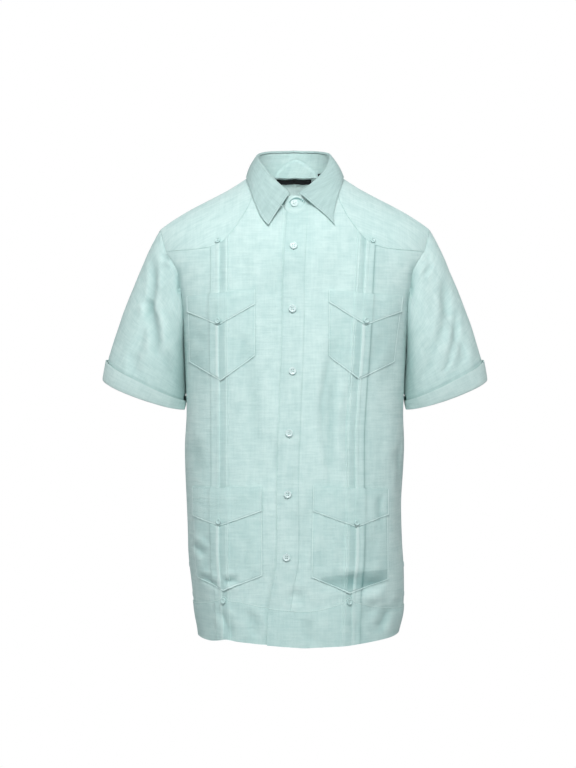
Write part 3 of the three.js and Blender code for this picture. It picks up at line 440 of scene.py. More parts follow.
def cloth(name, points, slot, replaced, ring=False, thick=1.0, shade=None,
          upright=False, look=None):
    """One piece of cloth through a grid of points of its outside, thickened inwards. `shade` is painted
    light and shade: painted shade above 0, as in folds and shadow lines, and painted highlight below 0,
    as on pressed edges. With `upright` its threads run level and plumb as seen from the front, and
    stretch where it turns away."""
    rows = len(points)
    square = square_to(points, ring)
    surfaces[name] = (points, square)
    grid = np.concatenate([points, points[:, :1]], 1) if ring else points
    wide = grid.shape[1]
    sheet_mesh, thread = laid_out(grid, shade)
    run = np.stack([lengths(row) for row in grid]) / 1000 + 0.37 * len(surfaces)
    fall = np.repeat(lengths(grid[:, wide // 2])[:, None], wide, 1) / 1000
    if upright:
        run = (grid[..., 0] - grid[rows // 2, wide // 2, 0]) / 1000 + run[rows // 2, wide // 2]
        fall = grid[..., 2] / 1000
    for face in sheet_mesh.faces:
        for loop in face.loops:
            u, v = loop[thread].uv
            j, i = round(u * (wide - 1)), round(v * (rows - 1))
            loop[thread].uv = (run[i, j], fall[i, j])
    if ring:
        bmesh.ops.remove_doubles(sheet_mesh, verts=sheet_mesh.verts, dist=1e-6)
    sheet_mesh.faces.ensure_lookup_table()
    sheet_mesh.normal_update()
    probe = sheet_mesh.faces[len(sheet_mesh.faces) // 2]
    spot = np.array(probe.calc_center_median()) * 1000
    nearest = np.linalg.norm(points - spot, axis=-1).argmin()
    if np.dot(np.array(probe.normal), square.reshape(-1, 3)[nearest]) < 0:
        bmesh.ops.reverse_faces(sheet_mesh, faces=sheet_mesh.faces)
    return thicken(name, as_mesh(name, sheet_mesh), slot, replaced, thick, look)


def thicken(name, mesh, slot, replaced, thick, look=None):
    made = put(name, mesh)
    wall = made.modifiers.new("wall", "SOLIDIFY")
    wall.thickness = thick / 1000
    wall.offset = -1
    looked = made.evaluated_get(bpy.context.evaluated_depsgraph_get())
    made.data = bpy.data.meshes.new_from_object(looked)
    made.modifiers.clear()
    made.data.name = name
    made.data.set_sharp_from_angle(angle=math.radians(60))
    made.data.materials.clear()
    made.data.materials.append(finishes[look or slot])
    fixed(made, replaced)
    return made


thread_turn = 8976.0  # radians in a metre of cloth, which sets a thread every 0.7 mm
# the colours that the shade attribute paints in: a painted highlight and a painted shade
painted_highlight_colour = (0.80, 0.93, 0.91, 1)
painted_shade_colour = (0.16, 0.33, 0.32, 1)


def linen(name, dark, light):
    """Plain-woven linen: thick and thin threads both ways, a little mottled, matt with a soft sheen."""
    made, wire = finish(name)
    cut = wire.node("TexCoord", {}, {}, "UV")

    def threads(across, down, detail):
        run = wire.node("Mapping", {}, {"Vector": cut, "Scale": (across, down, 1)})
        return wire.node("TexNoise", {"noise_dimensions": "2D"}, {
            "Vector": run, "Scale": 1.0, "Detail": detail, "Roughness": 0.6,
        }, "Fac")

    warp = threads(310, 26, 3.0)
    weft = threads(34, 330, 3.0)
    slub = threads(120, 14, 2.0) * 0.35 + threads(24, 150, 2.0) * 0.65
    thread = warp * 0.24 + weft * 0.36 + slub * 0.40
    mottle = threads(62, 55, 4.0) * 0.65 + threads(12, 9, 1.0) * 0.35
    tone = thread * 0.6 + mottle * 0.4
    spread = wire.node("MapRange", {}, {"Value": tone, "From Min": 0.405, "From Max": 0.595})
    woven = tinted(wire, spread, dark, light)
    # painted light and shade: the shade attribute mixes in the painted highlight below 0 and the painted
    # shade above 0
    shade = wire.node("Attribute", {"attribute_name": "shade"}, {}, "Fac")
    lit = tinted(wire, shade * -1.0, woven, painted_highlight_colour)
    colour = tinted(wire, shade, lit, painted_shade_colour)
    along = wire.node("SeparateXYZ", {}, {"Vector": cut}, 0)
    across = wire.node("SeparateXYZ", {}, {"Vector": cut}, 1)
    weave = wire.sum("SINE", along * thread_turn) * wire.sum("SINE", across * thread_turn)
    height = weave * 0.2 + thread * 2.4 + mottle * 3.0
    bump = wire.node("Bump", {}, {"Height": height, "Strength": 0.6, "Distance": 0.0005})
    return paint(made, wire, wire.node("BsdfPrincipled", {}, {
        "Base Color": colour, "Roughness": 0.88, "Normal": bump,
        "Sheen Weight": 0.12, "Sheen Roughness": 0.5, "Specular IOR Level": 0.25,
    }))


finishes = {
    "linen": linen("mint_linen", (0.51, 0.70, 0.68, 1), (0.635, 0.81, 0.785, 1)),
    "linen_collar": linen("mint_linen_stiffened", (0.375, 0.525, 0.51, 1), (0.47, 0.63, 0.61, 1)),
    "linen_trim": linen("mint_linen_doubled", (0.48, 0.68, 0.66, 1), (0.585, 0.77, 0.745, 1)),
}

fronts = {
    "left": {
        "sign": 1,
        "edge": {
            "height": [-737, -697, -644, -606, -460, -233, -154, -44],
            "out": [-45, -44, -37, -30, -29, -20.5, -20, -14.5],
        },
        "tuck": {
            "height": [-740, -650, -600, -483, -404, -348, -137, -80],
            "out": [88, 91, 95, 96, 96, 99, 112, 116],
        },
        # root: how strong the painted shade along the tuck band's outer root is
        "root": 0.34,
        "pocket_side": {
            "height": [-740, -637, -488, -286, -180, -100],
            "out": [147, 149, 149, 160, 173, 184],
        },
    },
    "right": {
        "sign": -1,
        "edge": {"height": [-737, -606, -460, -233, -44], "out": [4, -3, -5, -12, -15]},
        "tuck": {"height": [-740, -480, -80], "out": [120, 120.5, 122]},
        "root": 0.06,
        "pocket_side": {
            "height": [-740, -635, -488, -286, -180, -100],
            "out": [158, 163, 167, 171, 174, 184],
        },
    },
}
hem_bands = {
    "left": {
        "out": [-46, 15, 44, 74, 85, 96, 139, 179],
        "top": [-678, -683, -679, -670, -661, -669, -680, -686],
        "hem": [-737, -741, -740, -739, -738, -737, -732, -727],
    },
    "right": {
        "out": [-5, 51, 85, 106, 116, 126, 150, 179],
        "top": [-677, -676, -669, -667, -661, -667, -673, -680],
        "hem": [-736, -736, -733, -731, -730, -732, -735, -733],
    },
    "back": {"out": [0, 100, 179], "top": [-690, -688, -684], "hem": [-745, -743, -735]},
}
placket_width = 35
tuck_half = 16
# Across a tuck band, from the placket's side to the shirt's side: two fine tucks, a flat groove, the
# raised strip and a plain pleat that ends in a deep root. `rise` is its height, `shade` its painted
# shade (above 0) and painted highlight (below 0).
tuck_rows = [
    (-16.0, 0.0, 0.0), (-15.4, 0.0, 0.14), (-14.9, 0.9, -0.22), (-12.6, 0.2, 0.0), (-12.2, 0.1, 0.20),
    (-11.7, 0.9, -0.22), (-9.8, 0.1, 0.04), (-9.0, 0.0, 0.20), (-3.0, 0.0, 0.24), (-1.2, 0.1, 0.28),
    (-0.6, 1.2, -0.1), (0.2, 1.5, -0.36), (3.1, 1.5, -0.36), (4.2, 1.1, -0.08), (5.0, 0.8, 0.08),
    (12.8, 0.95, 0.08), (13.6, 0.8, 0.11), (14.4, 0.0, 0.18), (15.2, 0.0, 0.06), (16.0, 0.0, 0.0),
]
tuck_place, tuck_height, tuck_painted_shade_and_light = np.array(tuck_rows).T


def past_tuck(name, out, z):
    return out - read(fronts[name]["tuck"], "height", z, "out")


def tuck_rise(name, out, z):
    return np.interp(past_tuck(name, out, z), tuck_place, tuck_height)


def tuck_shade(name, out, z):
    past = past_tuck(name, out, z)
    # painted shade along the tuck band's outer root, over the panel beyond it, and in the groove above the
    # chest pockets
    root = fronts[name]["root"] * np.exp(-((past - 14) / 2.2) ** 2)
    panel = 0.08 * ease((past - 15) / 2) * (1 - ease((past - 22) / 34))
    groove = 0.10 * np.exp(-((past + 5) / 3.4) ** 2) * ease((z + 175) / 12)
    return np.interp(past, tuck_place, tuck_painted_shade_and_light) + root + panel + groove


def edge_shade(away, under=0.0):
    """Painted light and shade along a pressed edge: a painted highlight where it turns, painted shade
    where it is stitched, and `under`, how strong the painted shadow line is on the last of it, where
    it turns under."""
    painted_stitch_shade = 0.15 * np.exp(-((away - 2.6 * under - 2.0) / 0.5) ** 2)
    painted_turn_shade = under * np.exp(-((away - 0.1) / 0.55) ** 2)
    painted_edge_highlight = (0.42 + 0.3 * under) * np.exp(-((away - 2.6 * under - 0.4) / 0.6) ** 2)
    return painted_stitch_shade + painted_turn_shade - painted_edge_highlight


def placket_step(name, out, z):
    from_edge = out - read(fronts[name]["edge"], "height", z, "out")
    return 0.7 * ease((placket_width - from_edge) / 1.0)


def under_left(out, z):
    over = -read(fronts["left"]["edge"], "height", z, "out")
    deep = 2.0 + 1.7 * ease((-600 - z) / 35)
    return deep * ease((over + 48 - out) / 26)


def seam_above(out):
    """The height of the yoke's front seam; beside the neck, where there is none, it is out of reach."""
    return np.where(out < neck_half, 99, read(yoke_seam, "out", out, "height"))


def front_out(name, out, z):
    """How far a front's outside stands off the body's form."""
    lift = cloth_wall + tuck_rise(name, out, z) + placket_step(name, out, z)
    lift = lift - (under_left(out, z) if name == "right" else 0)
    return lift - 1.3 * ease((z - seam_above(out) + 3) / 5)


def spaced(*runs):
    """Column places: each run is its start, its end and how many steps it takes."""
    return np.concatenate([np.linspace(a, b, n, endpoint=False) for a, b, n in runs] + [[runs[-1][1]]])


def front_x(name, z, place):
    """Across a front: 0 its edge, 1 the inside of the placket, 2 and 3 the tuck band, 4 the side."""
    front = fronts[name]
    edge = read(front["edge"], "height", z, "out")
    tuck = read(front["tuck"], "height", z, "out")
    knots = [edge, edge + placket_width, tuck - tuck_half, tuck + tuck_half]
    half = section(z, "half")
    start = np.arccos(np.minimum(knots[3] / half, 1) ** (squareness / 2))
    end = np.arccos(np.minimum(side_out("front", z) / half, 1) ** (squareness / 2))
    beyond = half * np.cos(mix(start, end, np.clip(place - 3, 0, 1))) ** (2 / squareness)
    inner = mix(knots[0], knots[1], np.clip(place, 0, 1))
    inner = np.where(place > 1, mix(knots[1], knots[2], place - 1), inner)
    inner = np.where(place > 2, mix(knots[2], knots[3], place - 2), inner)
    return np.where(place > 3, beyond, inner)


front_top = -122
front_edges = {}
for name, front in fronts.items():
    place = spaced(
        (0, 0.9, 9), (0.9, 1, 5), (1, 1.04, 3), (1.04, 2, 27), (2, 3, 56), (3, 4, 34),
    )[None, :]
    hem = read(hem_bands[name], "out", front_x(name, np.full(place.shape, -735.0), place), "hem")
    top = np.zeros(place.shape)
    for _ in range(40):
        across = front_x(name, top, place)
        goal = np.where(
            across < neck_half, neck_height("front", np.minimum(across, neck_half)),
            read(yoke_seam, "out", across, "height") + 3,
        )
        top = mix(top, goal - 0.2, 0.5)
    z = np.concatenate([
        mix(hem, front_top, np.linspace(0, 1, 124)[:-1, None]),
        mix(front_top, top, np.linspace(0, 1, 24)[:, None]),
    ])
    out = front_x(name, z, place)
    points = on_body("front", front["sign"] * out, z, front_out(name, out, z))
    from_edge = out - read(front["edge"], "height", z, "out")
    # painted shade and highlight of the tucks, and painted shade in the body's creases
    shade = tuck_shade(name, out, z) + 0.05 * sunk("front", front["sign"] * out, z)
    # a painted shadow line along the inner edge of the left placket band
    shade = shade + 0.14 * np.exp(-((from_edge - placket_width + 0.4) / 0.8) ** 2) * (name == "left")
    # the left band a little darker where its cloth lies double, with a painted shadow line along its edge,
    # strongest at the top
    if name == "left":  # the band's cloth lies double and is darker, and so is its edge
        band = 0.04 * ease((placket_width - from_edge) / 2)
        painted_edge_shadow = mix(0.12, 0.3, ease((z + 210) / 90))
        shade = shade + band + painted_edge_shadow * np.exp(-((from_edge - 0.7) / 0.8) ** 2)
    # a painted shadow line just under the yoke's edge
    under_yoke = seam_above(out) - z
    shade = np.maximum(shade, 0.26 * np.exp(-((under_yoke - 0.6) / 1.2) ** 2))
    # painted shade, a little darker where the lamps are strongest
    shade = shade + 0.1 * np.exp(-((z + 105) / 70) ** 2 - (out / 120) ** 2)
    # painted shade in the valley beside the armhole, between sleeve and body
    to_armhole = side_out("front", z) - out
    painted_valley_shade = ease((-112 - z) / 30) * ease((z + 256) / 12)
    shade = shade + 0.42 * painted_valley_shade * np.exp(-((to_armhole / 7) ** 2))
    cloth(f"front_{name}_cloth", points, "linen", [f"front_{name}"],
          shade=shade, upright=True)
    front_edges[name] = from_edge

thread_paint, wire = finish("sewing_thread")
thread_colour = tinted(wire, speckle(wire, 1600.0), (0.50, 0.70, 0.68, 1), (0.66, 0.84, 0.82, 1))
paint(thread_paint, wire, wire.node("BsdfPrincipled", {}, {"Base Color": thread_colour, "Roughness": 0.6}))
stitch_pitch = 3.2
stitch_in = 2.1  # how far inside an edge a line of stitches runs
stitch_half = (1.15, 0.27, 0.24)  # half of its length, breadth and height


def traced(field, level):
    """The lines along which a value given over a grid is `level`, as (row, column) places."""
    above = field > level
    links = {}
    mixed = above[:-1, :-1] * 1 + above[1:, :-1] + above[:-1, 1:] + above[1:, 1:]
    for i, j in np.argwhere((mixed > 0) & (mixed < 4)).tolist():
        sides = ((i, j, 0, 1), (i + 1, j, 0, 1), (i, j, 1, 0), (i, j + 1, 1, 0))
        cut = [(a, b, da, db) for a, b, da, db in sides if above[a, b] != above[a + da, b + db]]
        if len(cut) == 2:
            links.setdefault(cut[0], []).append(cut[1])
            links.setdefault(cut[1], []).append(cut[0])
    lines = []
    while links:
        line = [next((k for k, near in links.items() if len(near) == 1), next(iter(links)))]
        while line[-1] in links:
            line += [k for k in links.pop(line[-1]) if k in links][:1]
        places = []
        for a, b, da, db in line:
            share = (level - field[a, b]) / (field[a + da, b + db] - field[a, b])
            places.append((a + da * share, b + db * share))
        lines.append(np.array(places))
    return lines


def along(piece, line):
    """Points and square directions along a line of (row, column) places on a piece's grid."""
    found = []
    low = np.floor(line).astype(int)
    share = line - low
    for grid in surfaces[piece]:
        rows, columns = grid.shape[:2]
        near, beyond = (
            mix(grid[row, low[:, 1] % columns], grid[row, (low[:, 1] + 1) % columns], share[:, 1:])
            for row in (np.minimum(low[:, 0] + step, rows - 1) for step in (0, 1))
        )
        found.append(mix(near, beyond, share[:, :1]))
    return found


def stitch(made, spot, ahead, out):
    """One stitch: a short bar of thread with round ends, half sunk in the cloth."""
    forward = Vector(ahead).normalized()
    aside = Vector(out).cross(forward).normalized()
    frame_of = Matrix((forward, aside, forward.cross(aside))).transposed() @ Matrix.Diagonal(stitch_half)
    place = Matrix.Translation(Vector(spot) / 1000) @ (frame_of * 0.001).to_4x4()
    place[3][3] = 1
    bmesh.ops.create_icosphere(made, subdivisions=1, radius=1, matrix=place)


def sew(name, runs):
    """All the stitches of a group of seams as one piece. A run is its points and square directions."""
    made = bmesh.new()
    for spots, squares in runs:
        run = lengths(spots)
        for at in np.arange(stitch_pitch / 2, run[-1], stitch_pitch):
            before, here, after = (
                np.array([np.interp(at + step, run, spots[:, k]) for k in range(3)])
                for step in (-0.8, 0, 0.8)
            )
            out = np.array([np.interp(at, run, squares[:, k]) for k in range(3)])
            stitch(made, here, after - before, out)
    done_sewing(name, made)


def done_sewing(name, made):
    for face in made.faces:
        face.smooth = True
    thing = put(name, as_mesh(name, made))
    thing.data.materials.append(thread_paint)
    fixed(thing)


sew("placket_stitches", [
    along(f"front_{name}_cloth", line)
    for name, level in (("left", placket_width - 1.6), ("left", 2.6), ("right", placket_width - 1.6))
    for line in traced(front_edges[name], level)
])


# ---------------------------------------------------------------- the yoke
# One piece of linen that covers the shoulders, with a curved seam in front that comes to a point
# over each tuck band and a straight seam across the back. Its edges are turned under and stitched.
back_seam = -82


def over_angle(side, x, z):
    drop = np.clip((shoulder(side, x, z) - z) / shoulder_round[side], 0, 1)
    return facing[side] * np.arccos(1 - drop)


def over_point(side, x, angle, out):
    z = shoulder(side, x, 0 * x) - shoulder_round[side] * (1 - np.cos(angle))
    return on_body(side, x, z, out)


def armhole_over(side, angle):
    out = np.full(np.shape(angle), 215.0)
    for _ in range(20):
        z = shoulder(side, out, 0 * out) - shoulder_round[side] * (1 - np.cos(angle))
        out = mix(out, side_out(side, z), 0.5)
    return out


front_end = 211.0
for _ in range(20):
    front_end = float(side_out("front", read(yoke_seam, "out", front_end, "height")))
back_end = float(side_out("back", np.array(float(back_seam))))
end_angle = {
    "front": over_angle("front", front_end, read(yoke_seam, "out", front_end, "height")),
    "back": over_angle("back", back_end, np.array(float(back_seam))),
}


def yoke_lift(t):
    """How far the yoke's outside stands off the form: a little more where its edge is turned under."""
    return 1.25 + 0.45 * np.clip(t * 12 - 11, 0, 1)


def yoke_patch(side, sign, shares, rows):
    """One quarter of the yoke, from the ridge line (row share 0) to its seam (1)."""
    share, t = np.meshgrid(shares, rows)
    end = armhole_over(side, end_angle[side] * t)
    out = mix(neck_half, end, share)
    seam_height = read(yoke_seam, "out", out, "height") if side == "front" else np.full(out.shape, back_seam)
    angle = t * over_angle(side, out, seam_height - (1.0 if side == "front" else 1.5))
    return over_point(side, sign * out, angle, yoke_lift(t) - 0.25 * ease((t - 0.985) / 0.015))


shares = spaced((0, 0.12, 9), (0.12, 1, 42))
front_rows = np.linspace(1, 0, 30)[:-1]
back_rows = np.linspace(0, 1, 34)
halves = {}
for name, sign in (("left", 1), ("right", -1)):
    halves[name] = np.concatenate([
        yoke_patch("front", sign, shares, front_rows), yoke_patch("back", sign, shares, back_rows),
    ])
across, t = np.meshgrid(neck_half * np.sin(np.linspace(-math.pi / 2, math.pi / 2, 41)), back_rows)
neck_edge = over_angle("back", across, neck_height("back", across) - 0.2)
angle = mix(neck_edge, over_angle("back", across, np.full(across.shape, back_seam - 1.5)), t)
middle = over_point("back", across, angle, yoke_lift(t))


def join(name, parts, slot, replaced, thick):
    """Several grids sewn edge to edge into one piece."""
    joined = bmesh.new()
    for points in parts:
        x, y, z = points[..., 0], points[..., 1], points[..., 2]
        # painted light inside the neck, under the collar, where it lies in shade
        painted_neck_light = -0.4 * ease((z + 14) / 10) * ease((56 - np.abs(x)) / 14)
        part, thread = laid_out(points, np.where(y > 0, painted_neck_light, 0.0))
        for face in part.faces:
            for loop in face.loops:
                place = loop.vert.co
                loop[thread].uv = (place.x, place.y + 0.6 * place.z * (1 if place.y < 0.006 else -1))
        held_part = as_mesh("part", part)
        joined.from_mesh(held_part)
        bpy.data.meshes.remove(held_part)
    bmesh.ops.remove_doubles(joined, verts=joined.verts, dist=2e-5)
    bmesh.ops.recalc_face_normals(joined, faces=joined.faces)
    joined.normal_update()
    joined.faces.ensure_lookup_table()
    if sum(f.normal.z * f.calc_area() for f in joined.faces) < 0:
        bmesh.ops.reverse_faces(joined, faces=joined.faces)
    return thicken(name, as_mesh(name, joined), slot, replaced, thick)


def fallen(points):
    """How far along the cloth each place of a grid is from the grid's first row."""
    return np.stack([lengths(points[:, j]) for j in range(points.shape[1])], 1)


for name, points in (("yoke_left", halves["left"]), ("yoke_right", halves["right"]), ("yoke_middle", middle)):
    surfaces[name] = (points, square_to(points))
join("yoke_cloth", [halves["right"], middle, halves["left"]], "linen", ["yoke"],
     1.0)
sew("yoke_stitches", [
    along(name, line) for name, ends in (("yoke_left", 2), ("yoke_right", 2), ("yoke_middle", 1))
    for down in (fallen(surfaces[name][0]),)
    for line in traced(down[-1:] - down, 2.2) + (traced(down, 2.2) if ends == 2 else [])
])

# ---------------------------------------------------------------- the back
# One plain panel of linen from the yoke's straight seam to the hem, slit at the sides for the vents.
hem_half = 179


def across_back(z, share):
    """Places across the back from side to side (-1 to 1), in steps that follow its round section."""
    half = section(z, "half")
    full = np.arccos(np.minimum(side_out("back", z) / half, 1) ** (squareness / 2))
    return half * np.cos(mix(math.pi / 2, full, np.abs(share))) ** (2 / squareness) * np.sign(share)


back_share = np.linspace(-1, 1, 121)[None, :]
hem = read(hem_bands["back"], "out", hem_half * np.abs(back_share), "hem")
z = np.concatenate([
    mix(hem, underarm, np.linspace(0, 1, 100)[:-1, None]),
    mix(underarm + 0 * hem, back_seam + 3, np.linspace(0, 1, 36)[:, None]),
])
x = mix(across_back(z, back_share), back_share * side_out("back", z), ease((z + 200) / 100))
lift = cloth_wall - cloth_wall * ease((z - back_seam + 4) / 4)
cloth("back_cloth", on_body("back", x, z, lift), "linen", ["back"])

# ---------------------------------------------------------------- the sleeves
# Two short set-in sleeves of linen, full enough to stand off the arm, sewn into the armholes with
# the seam turned in. Their lower ends are hidden by the turned-up cuffs.
sleeve_hem = {
    "out": 248, "y": 2, "height": -339, "breadth": 72, "depth": 54, "tilt": 18.9, "lean": 9,
}
# Long folds: how far round the sleeve, where each starts and stops along it, its width and depth.
sleeve_folds = {
    "right": [(-62, 0.2, 0.86, 13, 5), (70, 0.2, 0.8, 15, 4)],
    "left": [(-48, 0.25, 0.8, 12, 5), (80, 0.15, 0.75, 15, 4)],
}
# Creases seen from the front and from the back: both ends (across, height), width, depth.
sleeve_creases = {
    ("right", "front"): [
        (-235, -104, -250, -236, 6, 3.8), (-249, -168, -228, -296, 7, 4.4),
        (-222, -112, -190, -132, 4, 2.8), (-222, -98, -190, -130, 5, -1.4),
        (-262, -188, -226, -196, 4, 1.2), (-272, -262, -262, -312, 8, 1.4),
        (-212, -262, -206, -320, 8, 1.6), (-206, -196, -204, -262, 8, 1.4),
    ],
    ("left", "front"): [
        (204, -150, 224, -118, 4, 1.8), (198, -128, 216, -96, 5, -1.4), (226, -278, 240, -134, 7, 2.4),
        (240, -304, 262, -184, 5, 2.2), (238, -304, 254, -276, 2.6, 1.8), (212, -316, 214, -240, 9, 1.6),
        (268, -300, 274, -246, 7, 1.4),
    ],
    ("right", "back"): [
        (-236, -130, -232, -270, 10, 3.0), (-268, -190, -256, -310, 9, 2.4),
        (-204, -180, -206, -300, 9, 2.2), (-226, -96, -206, -150, 8, 2.0),
    ],
    ("left", "back"): [
        (230, -140, 240, -290, 10, 3.0), (262, -180, 270, -300, 9, 2.2),
        (206, -200, 206, -310, 9, 2.2), (240, -100, 212, -140, 8, 2.2),
    ],
}
ring_count = 168


def armhole(sign):
    """The armhole's edge from the underarm up the front, over the shoulder and down the back."""
    inside, outside = [], []
    end_height = float(read(yoke_seam, "out", front_end, "height"))
    for side, heights in (("front", (underarm, end_height)), ("back", (back_seam, underarm))):
        z = np.linspace(heights[0], heights[1], 90)
        z = z[0] + (z[-1] - z[0]) * (1 - np.cos(np.linspace(0, math.pi, 90))) / 2
        x = sign * side_out(side, z)
        inside.append(on_body(side, x, z, 0.0))
        outside.append(on_body(side, x, z, cloth_wall))
        if side == "front":
            for half, angles in (
                ("front", np.linspace(end_angle["front"], 0, 30)[1:-1]),
                ("back", np.linspace(0, end_angle["back"], 30)[:-1]),
            ):
                x = sign * armhole_over(half, angles)
                inside.append(over_point(half, x, angles, 0.0))
                outside.append(over_point(half, x, angles, cloth_wall))
    inside, outside = np.concatenate(inside), np.concatenate(outside)
    run = lengths(inside)
    closed = run[-1] + np.linalg.norm(inside[0] - inside[-1])
    places = np.arange(ring_count) * closed / ring_count
    inside, outside = (
        np.stack([np.interp(places, run, rows[:, k]) for k in range(3)], -1) for rows in (inside, outside)
    )
    return inside, outside, closed


turn = 360 * np.arange(ring_count) / ring_count - 180  # degrees round a sleeve from its underarm


def sleeve_form(name):
    """A sleeve's inside as a function of how far down it is, with its armhole edge and its length."""
    sign = fronts[name]["sign"]
    inside, outside, girth = armhole(sign)
    square = outside - inside
    square /= np.linalg.norm(square, axis=-1, keepdims=True)
    along = np.roll(inside, -1, 0) - np.roll(inside, 1, 0)
    away = np.cross(along, square)
    away /= np.linalg.norm(away, axis=-1, keepdims=True)
    away *= np.where(((inside.mean(0) - inside) * away).sum(-1) < 0, -1, 1)[:, None]
    a = np.radians(turn)
    tilt = math.radians(sleeve_hem["tilt"])
    outward = np.array([sign * math.cos(tilt), 0, math.sin(tilt)])
    end = np.array([sign * sleeve_hem["out"], sleeve_hem["y"], sleeve_hem["height"]])
    end = end + sleeve_hem["breadth"] * np.cos(a)[:, None] * outward
    end[:, 1] += sleeve_hem["depth"] * np.sin(a)
    end[:, 2] += sleeve_hem["lean"] * np.sin(a)
    swell = np.cos(a)[:, None] * outward
    swell[:, 1] += np.sin(a)
    length = np.linalg.norm(end[ring_count // 2] - inside[ring_count // 2])

    def place(t):
        """Points of the sleeve's inside at shares t of the way from armhole to hem."""
        t = np.asarray(t, float)[:, None]
        full = 9 * np.sin(math.pi * np.clip(t, 0, 1)) ** 0.6 * (1 - np.maximum(-np.cos(a), 0))
        for at, start, stop, width, depth in sleeve_folds[name]:
            near = np.exp(-(((turn - at) / 360 * girth) / width) ** 2)
            full = full - depth * near * np.sin(math.pi * np.clip((t - start) / (stop - start), 0, 1)) ** 0.7
        points = inside + (end - inside) * t[..., None] + swell * full[..., None]
        beside_body = {}
        for key in ("front", "back"):
            level = section(points[..., 2], "half") * rounded(
                np.abs(points[..., 1] - ridge) / section(points[..., 2], key)
            )
            free = (points[..., 2] > armhole_bend) | (level > side_out(key, points[..., 2]) + 3)
            clear = mix(0.6, 0.8, ease(t / 0.6)) + 3.6 * ease((t - 0.785) / 0.04)
            beside_body[key] = np.where(free, -1e9, level + 2 * cloth_wall + clear)
        least = np.where(points[..., 1] < ridge, beside_body["front"], beside_body["back"])
        points[..., 0] = sign * np.maximum(sign * points[..., 0], least)
        return points

    return place, inside, square, away, length


cuff_depth = 33
sleeves = {}
for name in fronts:
    place, inside, square, away, length = sleeve_form(name)
    t = np.concatenate([np.linspace(0.012, 0.12, 10)[:-1], np.linspace(0.12, 0.985, 64)])
    rings = place(t)
    out = square_to(rings, ring=True)
    sleeves[name] = (place, length)
    above_cuff = t - (1 - cuff_depth / length)
    lift = np.full(rings.shape[:2], cloth_wall) - 1.0 * ease((above_cuff - 0.03) / 0.05)[:, None]
    front_facing = ease((0.25 - out[..., 1]) / 0.5)
    sunken = 0
    for key, weight in (("front", front_facing), ("back", 1 - front_facing)):
        sunken = sunken + weight * creased(rings[..., 0], rings[..., 2], sleeve_creases[(name, key)])
    lift = lift - sunken
    low = ease((np.abs(turn) - 62) / 24)
    painted_seam_shade = np.exp(-(np.maximum(t - 0.02, 0) / 0.06) ** 2)[:, None]
    # painted shade: in the creases, a little over the whole wearer's right sleeve, near the armhole seam
    # under the arm, and as a shadow line just above the cuff
    shade = 0.07 * sunken + (0.06 if name == "right" else 0) + 0.40 * low * painted_seam_shade
    shade = shade + 0.24 * np.exp(-((above_cuff + 0.012) / 0.012) ** 2)[:, None]
    # painted shade next to the body, most of all above the cuff
    beside = fronts[name]["sign"] * rings[..., 0] - np.minimum(side_out("front", rings[..., 2]), 190)
    in_shadow = mix(0.1, 0.42 if name == "right" else 0.3, ease(t / 0.9))[:, None]
    shade = shade + in_shadow * np.exp(-(np.maximum(beside, 0) / mix(9, 17, t)[:, None]) ** 2)
    lift = lift - uneven(rings[..., 0] + 40, rings[..., 2], 1.7) * ease(t / 0.15)[:, None]
    points = rings + out * lift[..., None]
    first = 1 - ease(t / 0.1)[:, None, None]
    seam_ring = inside + square * 1.0 + away * 1.1
    points = mix(points, points + (seam_ring - points[:1]), first)
    tucked = np.stack([inside - square * 1.2 - away * 6, inside - square * 0.9 + away * 0.3])
    points = np.concatenate([tucked, points])
    cloth(f"sleeve_{name}_cloth", points, "linen", [f"sleeve_{name}"],
          ring=True, shade=np.concatenate([shade[:2], shade]))

# ---------------------------------------------------------------- the cuffs
# Each sleeve's end is turned up outside as a deep cuff: the cloth runs down, rolls over at the lower
# edge and lies a little away from the sleeve at its top. A line of stitches holds it all round.
for name in fronts:
    place, length = sleeves[name]
    start = 1 - cuff_depth / length
    roll = np.linspace(0, math.pi, 9)[1:-1]
    t_rows = [*np.linspace(start, 0.993, 12), *(0.993 + 0.009 * np.sin(roll)), *np.linspace(0.993, 0.9, 8)]
    outer = 1.2 + 1.5 + 1.6 * (1 - np.linspace(0, 1, 12)) ** 1.3 + 0.4
    lifts = [*outer, *(mix(outer[-1], 0.0, (1 - np.cos(roll)) / 2)), *np.full(8, -0.1)]
    rings = place(np.array(t_rows))
    out = square_to(place(np.array([start, 1.0])), ring=True)
    blend = np.clip((np.array(t_rows) - start) / (1 - start), 0, 1)[:, None, None]
    square = mix(out[:1], out[1:], blend)
    lift = np.array(lifts)[:, None] + 0.5 * np.sin(rings[..., 0] / 17)
    lift = lift - 0.6 * uneven(rings[..., 0], rings[..., 2] * 2.0, 0.6)
    # painted light on each cuff's outside, most at its top edge and round the roll, and painted shade on the
    # rows turned inside
    tone = np.array([-0.3, -0.2, -0.14, *np.full(8, -0.12), -0.18, *np.full(7, -0.2), *np.full(8, 0.1)])
    cloth(f"cuff_{name}_cloth", rings + square * np.maximum(lift, -0.4)[..., None], "linen_trim",
          [f"cuff_{name}"], ring=True, thick=0.9, look="linen",
          shade=np.repeat(tone[:, None], ring_count, 1))
sew("cuff_stitches", [
    along(f"cuff_{name}_cloth", line)
    for name in fronts for line in traced(fallen(surfaces[f"cuff_{name}_cloth"][0]), 3.0)
])

# ---------------------------------------------------------------- the collar stand
# An upright band of doubled linen that closes round the neck. The end on the wearer's left passes
# over the other one in front, and the collar button holds the two together.
fold_centre = (-2, -5)
fold_half = (60, 71)
fold_line = {
    "turn": [0, 30, 60, 90, 135, 180], "right": [-19, 9, 37, 55, 68, 72], "left": [-19, 5, 30, 55, 68, 72],
}


def aside_of(turn):
    """A turn as degrees from the front, above 0 towards the wearer's right."""
    return (turn + 180) % 360 - 180


